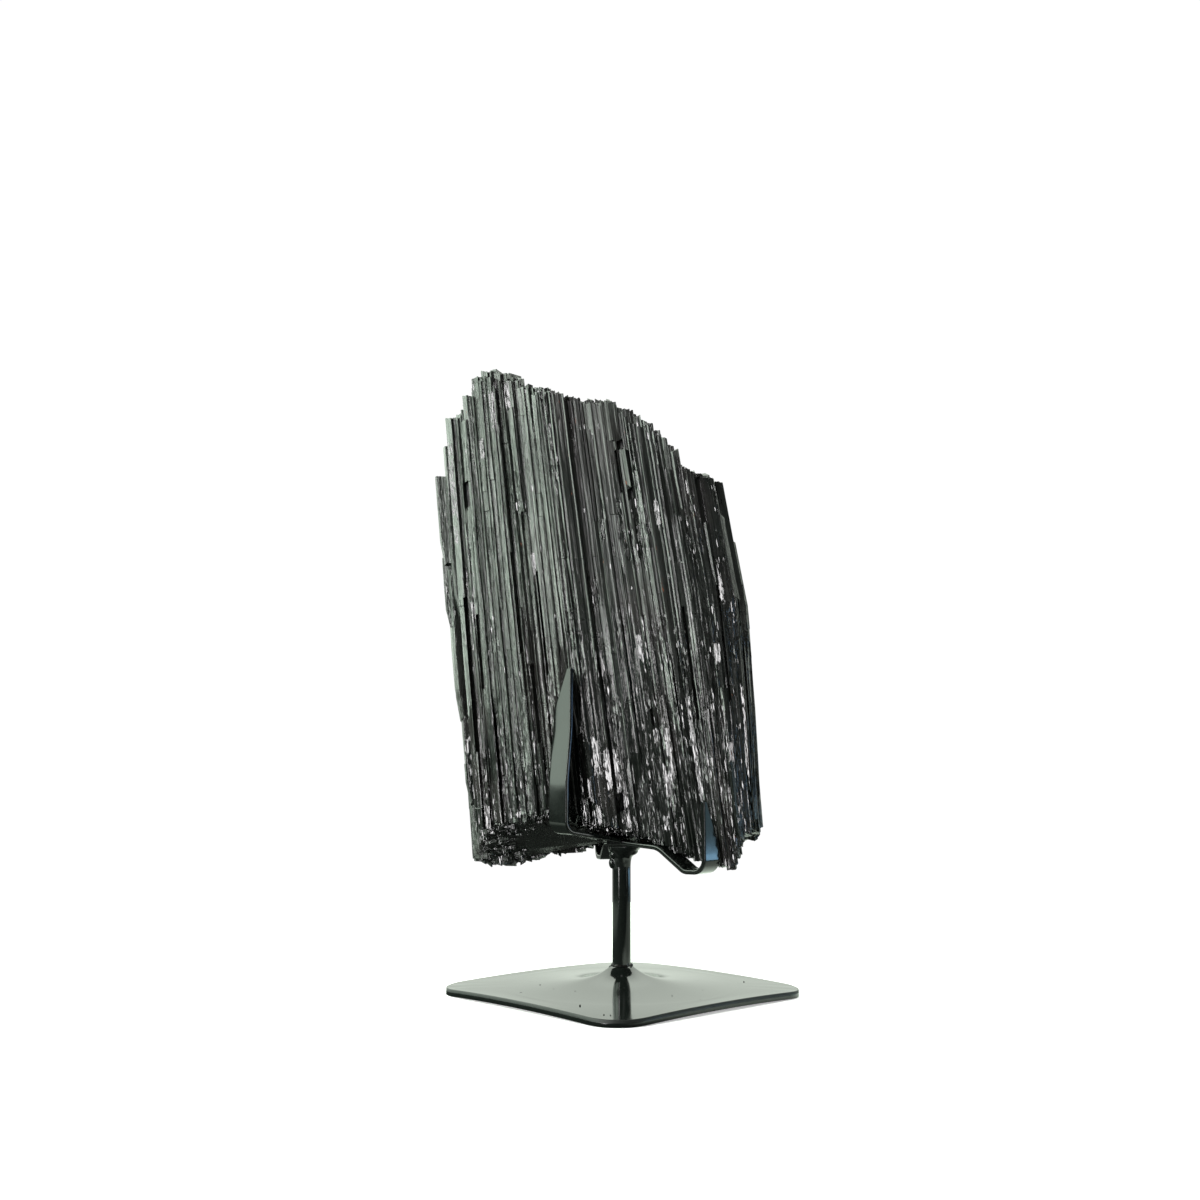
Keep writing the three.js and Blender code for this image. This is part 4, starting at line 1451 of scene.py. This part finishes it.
    def relief(self):
        """Height of the striae, scuffs and swells, the pits in the crusts and the crumbs on the ends."""
        height = times_plus(self.fine, 0.3, times(self.medium, 0.4))
        height = times_plus(self.mottle, 0.5, height)
        scuffs = lengthwise(self.grain, 0.3, 3.4, 3.0, 0.7)
        worn_place = spread(lengthwise(self.grain, 0.12, 0.3, 3.0, 0.6), 0.42, 0.6)
        worn_share = times(times_plus(worn_place, 1.0, 0.25), self.satin)
        height = times_plus(times(scuffs, worn_share), 0.9, height)
        swell = lengthwise(self.grain, 0.22, 0.38, 2.0, 0.5)
        height = times_plus(swell, 1.0, height)
        height = times(height, self.calm)
        height = times_plus(times(self.pits, self.crust), -1.1, height)
        height = times(height, self.flat)
        crumbs = noise(scaled(self.grain, (0.7, 1, 1)), 0.9, 5.0, 0.7)
        return times_plus(times(crumbs, self.ends), 1.6, height)

    def roughness(self):
        """How blurred the reflections are."""
        rough = spread(self.medium, 0.3, 0.7, 0.1, 0.2)
        rough = times_plus(times(self.satin, self.flat), 0.14, rough)
        rough = times_plus(times(self.quiet, self.flat), 0.27, rough)
        crust_rough = spread(self.chip_pick, 0.5, 0.82, 0.3, 0.06)
        mixed = put(self.tree, "ShaderNodeMix", {"Factor": self.crust, 2: rough, 3: crust_rough})
        return times_plus(self.ends, 0.12, mixed.outputs[0])

    def colour(self, stone):
        """The clean colour with worn places, a painted sheen that lightens the satin upper left, painted
        shade that darkens the pits of the crusts, a brown tinge and rusty flecks.
        """
        dull = times(spread(self.fine, 0.5, 0.75), 0.25)
        # Painted sheen: the satin upper left, where the left-hand lights fall, is lightened towards the
        # worn colour; the plainer crown is a little lighter too
        dull = times_plus(times(self.satin, spread(self.mottle, 0.35, 0.65)), 0.85, dull)
        dull = times_plus(self.quiet, 0.04, dull)
        colour = blended(dull, (*stone.stone_colour, 1), (*stone.worn_and_sheen_colour, 1))
        # Painted shade: the pits in the crusts are darkened to near black
        pit_shade = times(self.crust, spread(self.pits, 0.45, 0.6))
        colour = blended(pit_shade, colour, (0.006, 0.006, 0.006, 1))
        tinge = spread(lengthwise(self.grain, 0.4, 0.05, 2.0, 0.5), 0.5, 0.62)
        colour = blended(times(tinge, 0.5), colour, (0.03, 0.026, 0.026, 1))
        fleck_place = lengthwise(self.grain, 0.35, 0.32, 3.0, 0.6)
        fleck_place = times_plus(self.quiet, 0.045, fleck_place)
        return blended(spread(fleck_place, 0.735, 0.77), colour, (*stone.fleck_colour, 1))


def stone_material(stone):
    """Near-black prism faces with fine striae, crusts of tiny facets and a dull crumbled break."""
    material, tree, shader = new_material("black_tourmaline")
    surface = StoneSurface(tree)
    inputs = {"Height": surface.relief(), "Strength": 1.0, "Distance": STONE_RELIEF * MM,
              "Normal": surface.facet_normal()}
    bump = put(tree, "ShaderNodeBump", inputs)
    tree.links.new(bump.outputs[0], shader.inputs["Normal"])
    tree.links.new(surface.roughness(), shader.inputs["Roughness"])
    tree.links.new(surface.colour(stone), shader.inputs["Base Color"])
    shader.inputs["IOR"].default_value = 1.64
    return material


# ---------------------------------------------------------------- studio

def floor_mesh(radius):
    """Pale floor: a thin round sheet with a softened rim."""
    angles = np.linspace(0, 2 * math.pi, 96, endpoint=False)
    out = np.stack([np.cos(angles), np.sin(angles)], axis=1) * radius / MM
    rings = [np.column_stack([out * share, np.full(96, level)])
             for share, level in ((0.5, -1.2), (1.0, -1.2), (1.0, -0.1), (0.98, -0.05), (0.5, -0.05))]
    return ringed_mesh("floor", rings)


def floor_material():
    """White card with a faint tooth, which reflections see as a dark floor with painted lit places."""
    material, tree, shader = new_material("white_card")
    place = put(tree, "ShaderNodeTexCoord").outputs["Object"]
    patches = place_group(tree, patches_group(), {"Vector": place, "Scale": 60.0})
    colour = blended(patches.outputs["Small"], (0.93, 0.94, 0.93, 1), (0.96, 0.965, 0.96, 1))
    tree.links.new(colour, shader.inputs["Base Color"])
    bump = put(tree, "ShaderNodeBump", {"Height": patches.outputs["Small"], "Distance": 0.00002})
    tree.links.new(bump.outputs[0], shader.inputs["Normal"])
    shader.inputs["Roughness"].default_value = 0.9
    shader.inputs["Specular IOR Level"].default_value = 0.1
    shader.inputs["Emission Color"].default_value = (1, 1, 1, 1)
    shader.inputs["Emission Strength"].default_value = 0.45
    # Only the camera sees the white card: the pieces mirror a dark floor with a few painted lit places,
    # painted reflections of light in them
    parts = put(tree, "ShaderNodeSeparateXYZ", {0: place}).outputs
    side = parts["X"]
    lit = plus(spread(side, 0.0, 0.05, 0.0, 0.9), spread(side, 0.08, 0.15, 0.0, -0.5))
    lit = times(lit, spread(parts["Y"], -0.16, -0.09))
    lit = plus(lit, spread(side, -0.28, -0.16, 0.3, 0.0))
    lit = larger(lit, spread(parts["Y"], 0.13, 0.15, 0.0, 0.42))
    shade = blended(lit, (0.03, 0.032, 0.03, 1), (1.0, 1.05, 1.0, 1))
    dim = put(tree, "ShaderNodeBsdfDiffuse", {"Color": shade})
    seen = put(tree, "ShaderNodeLightPath").outputs["Is Camera Ray"]
    both = put(tree, "ShaderNodeMixShader", {0: seen, 1: dim.outputs[0], 2: shader.outputs[0]})
    sink = next(node for node in tree.nodes if node.type == "OUTPUT_MATERIAL")
    tree.links.new(both.outputs[0], sink.inputs["Surface"])
    return material


def soft_panel(name, azimuth, distance, low, size, radiance, colour):
    """Soft light panel that looks at the stone from a direction, its lower edge at a height."""
    light = bpy.data.lights.new(name, "AREA")
    light.shape = "RECTANGLE"
    light.size, light.size_y = size
    light.energy = radiance * math.pi * size[0] * size[1]
    light.color = colour
    panel = new_object(name, light)
    angle = math.radians(azimuth)
    panel.location = (distance * math.cos(angle), distance * math.sin(angle), low + size[1] / 2)
    look = Vector((0, 0, panel.location.z)) - panel.location
    panel.rotation_euler = look.to_track_quat("-Z", "Y").to_euler()
    return panel


def studio_world():
    """White behind the stone, dim in front of it, and plain white where the camera sees it."""
    world = bpy.data.worlds.new("studio")
    world.use_nodes = True
    tree = world.node_tree
    tree.nodes.clear()
    place = put(tree, "ShaderNodeTexCoord").outputs["Generated"]
    aim = put(tree, "ShaderNodeSeparateXYZ", {0: place}).outputs
    backward = plus(aim["Y"], spread(aim["X"], 0.5, 0.95, 0.0, -0.3))
    backward = plus(backward, spread(aim["X"], -0.98, -0.9, -0.12, 0.0))
    behind = spread(backward, 0.12, 0.55)
    above = times(spread(aim["Z"], 0.2, 0.8), spread(aim["Y"], -0.2, 0.1))
    horizon = spread(aim["Z"], -0.01, 0.05, 0.3, 1.0)
    light = times_plus(times(behind, horizon), 1.16, 0.05)
    light = times_plus(above, 2.4, light)
    dim = put(tree, "ShaderNodeBackground", {"Color": (0.915, 1.0, 0.89, 1), "Strength": light})
    white = put(tree, "ShaderNodeBackground", {"Color": (1, 1, 1, 1), "Strength": 1.02})
    seen = put(tree, "ShaderNodeLightPath").outputs["Is Camera Ray"]
    mixed = put(tree, "ShaderNodeMixShader", {0: seen, 1: dim.outputs[0], 2: white.outputs[0]})
    sink = tree.nodes.new("ShaderNodeOutputWorld")
    tree.links.new(mixed.outputs[0], sink.inputs["Surface"])
    bpy.context.scene.world = world


# ---------------------------------------------------------------- operators

class OBJECT_OT_stand_plate(bpy.types.Operator):
    """Build the base plate"""

    bl_idname = "tourmaline.stand_plate"
    bl_label = "Base plate"

    def execute(self, context):
        finish = enamel("plate_enamel", context.scene.stand_settings, 0.03, grit=0.22, bevel=0.45)
        piece = dress("plate", plate_mesh(), finish, "base_plate")
        piece.data.shade_smooth()
        crumbs = crumb_mesh(piece, np.random.default_rng(CRUMB_SEED))
        dress("fallen_crumbs", crumbs, rough_black("stone_crumb"), None)
        return {"FINISHED"}


class OBJECT_OT_stand_rod(bpy.types.Operator):
    """Build the rod with its welds"""

    bl_idname = "tourmaline.stand_rod"
    bl_label = "Rod"

    def execute(self, context):
        finish = enamel("rod_enamel", context.scene.stand_settings, 0.02, 1.0, ((ROD_TOP - 3, 8),))
        rod = rod_mesh(np.random.default_rng(ROD_SEED))
        piece = dress("rod_with_welds", rod, finish, "rod")
        piece.data.shade_smooth()
        bead = foot_bead_mesh(np.random.default_rng(BEAD_SEED))
        piece = dress("foot_weld", bead, rough_black("weld_scale"), None)
        piece.data.shade_smooth()
        return {"FINISHED"}


class OBJECT_OT_stand_arms(bpy.types.Operator):
    """Build the three bent arms"""

    bl_idname = "tourmaline.stand_arms"
    bl_label = "Arms"

    def execute(self, context):
        finish = enamel("arm_enamel", context.scene.stand_settings, 0.03, 1.2, ior=1.43)
        for name, arm in ARMS.items():
            wedge = mitre_wedge(name + "_mitre", arm["sector"])
            mesh = combined(name, arm_body(name + "_bar", arm), [wedge], "INTERSECT")
            piece = dress(name.replace("arm_", "bent_arm_"), mesh, finish, name)
            piece.data.shade_smooth()
            piece.data.set_sharp_from_angle(angle=math.radians(40))
        return {"FINISHED"}


class OBJECT_OT_tourmaline(bpy.types.Operator):
    """Grow the tourmaline's columns into one striated stone"""

    bl_idname = "tourmaline.stone"
    bl_label = "Tourmaline"

    def execute(self, context):
        stone = context.scene.stone_settings
        finish = stone_material(stone)
        piece = dress("striated_stone", stone_mesh(stone), finish, "tourmaline")
        piece.data.shade_flat()
        return {"FINISHED"}


class OBJECT_OT_studio(bpy.types.Operator):
    """Set up the floor, lights and camera"""

    bl_idname = "tourmaline.studio"
    bl_label = "Studio"

    def execute(self, context):
        studio = context.scene.studio_settings
        floor = new_object("floor", floor_mesh(studio.floor_radius))
        floor.data.materials.append(floor_material())
        studio_world()
        for light in LIGHTS:
            soft_panel(*light)
        camera = new_object("camera", bpy.data.cameras.new("camera"))
        camera.location = studio.camera_place
        camera.rotation_euler = (math.pi / 2 + studio.camera_tilt, 0, studio.camera_turn)
        camera.data.lens = studio.focal_length
        camera.data.sensor_width = 36
        camera.data.clip_start = 0.01
        context.scene.camera = camera
        context.scene.view_settings.view_transform = "Standard"
        return {"FINISHED"}


class VIEW3D_PT_tourmaline(bpy.types.Panel):
    """Buttons for each piece and the studio"""

    bl_label = "Tourmaline"
    bl_idname = "VIEW3D_PT_tourmaline"
    bl_space_type = "VIEW_3D"
    bl_region_type = "UI"
    bl_category = "Tourmaline"

    def draw(self, context):
        for settings in (context.scene.stand_settings, context.scene.stone_settings,
                         context.scene.studio_settings):
            box = self.layout.box()
            for name in type(settings).__annotations__:
                box.prop(settings, name)
        for operator in OPERATORS:
            self.layout.operator(operator.bl_idname)


OPERATORS = (OBJECT_OT_stand_plate, OBJECT_OT_stand_rod, OBJECT_OT_stand_arms,
             OBJECT_OT_tourmaline, OBJECT_OT_studio)
SETTINGS = {"stand_settings": StandSettings, "stone_settings": StoneSettings,
            "studio_settings": StudioSettings}


def register():
    for group in (*SETTINGS.values(), *OPERATORS, VIEW3D_PT_tourmaline):
        bpy.utils.register_class(group)
    for name, group in SETTINGS.items():
        setattr(bpy.types.Scene, name, bpy.props.PointerProperty(type=group))


def unregister():
    for name in SETTINGS:
        delattr(bpy.types.Scene, name)
    for group in (VIEW3D_PT_tourmaline, *reversed(OPERATORS), *SETTINGS.values()):
        bpy.utils.unregister_class(group)


def main():
    register()
    bpy.ops.tourmaline.stand_plate()
    bpy.ops.tourmaline.stand_rod()
    bpy.ops.tourmaline.stand_arms()
    bpy.ops.tourmaline.stone()
    bpy.ops.tourmaline.studio()
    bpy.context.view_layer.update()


if __name__ == "__main__":
    main()
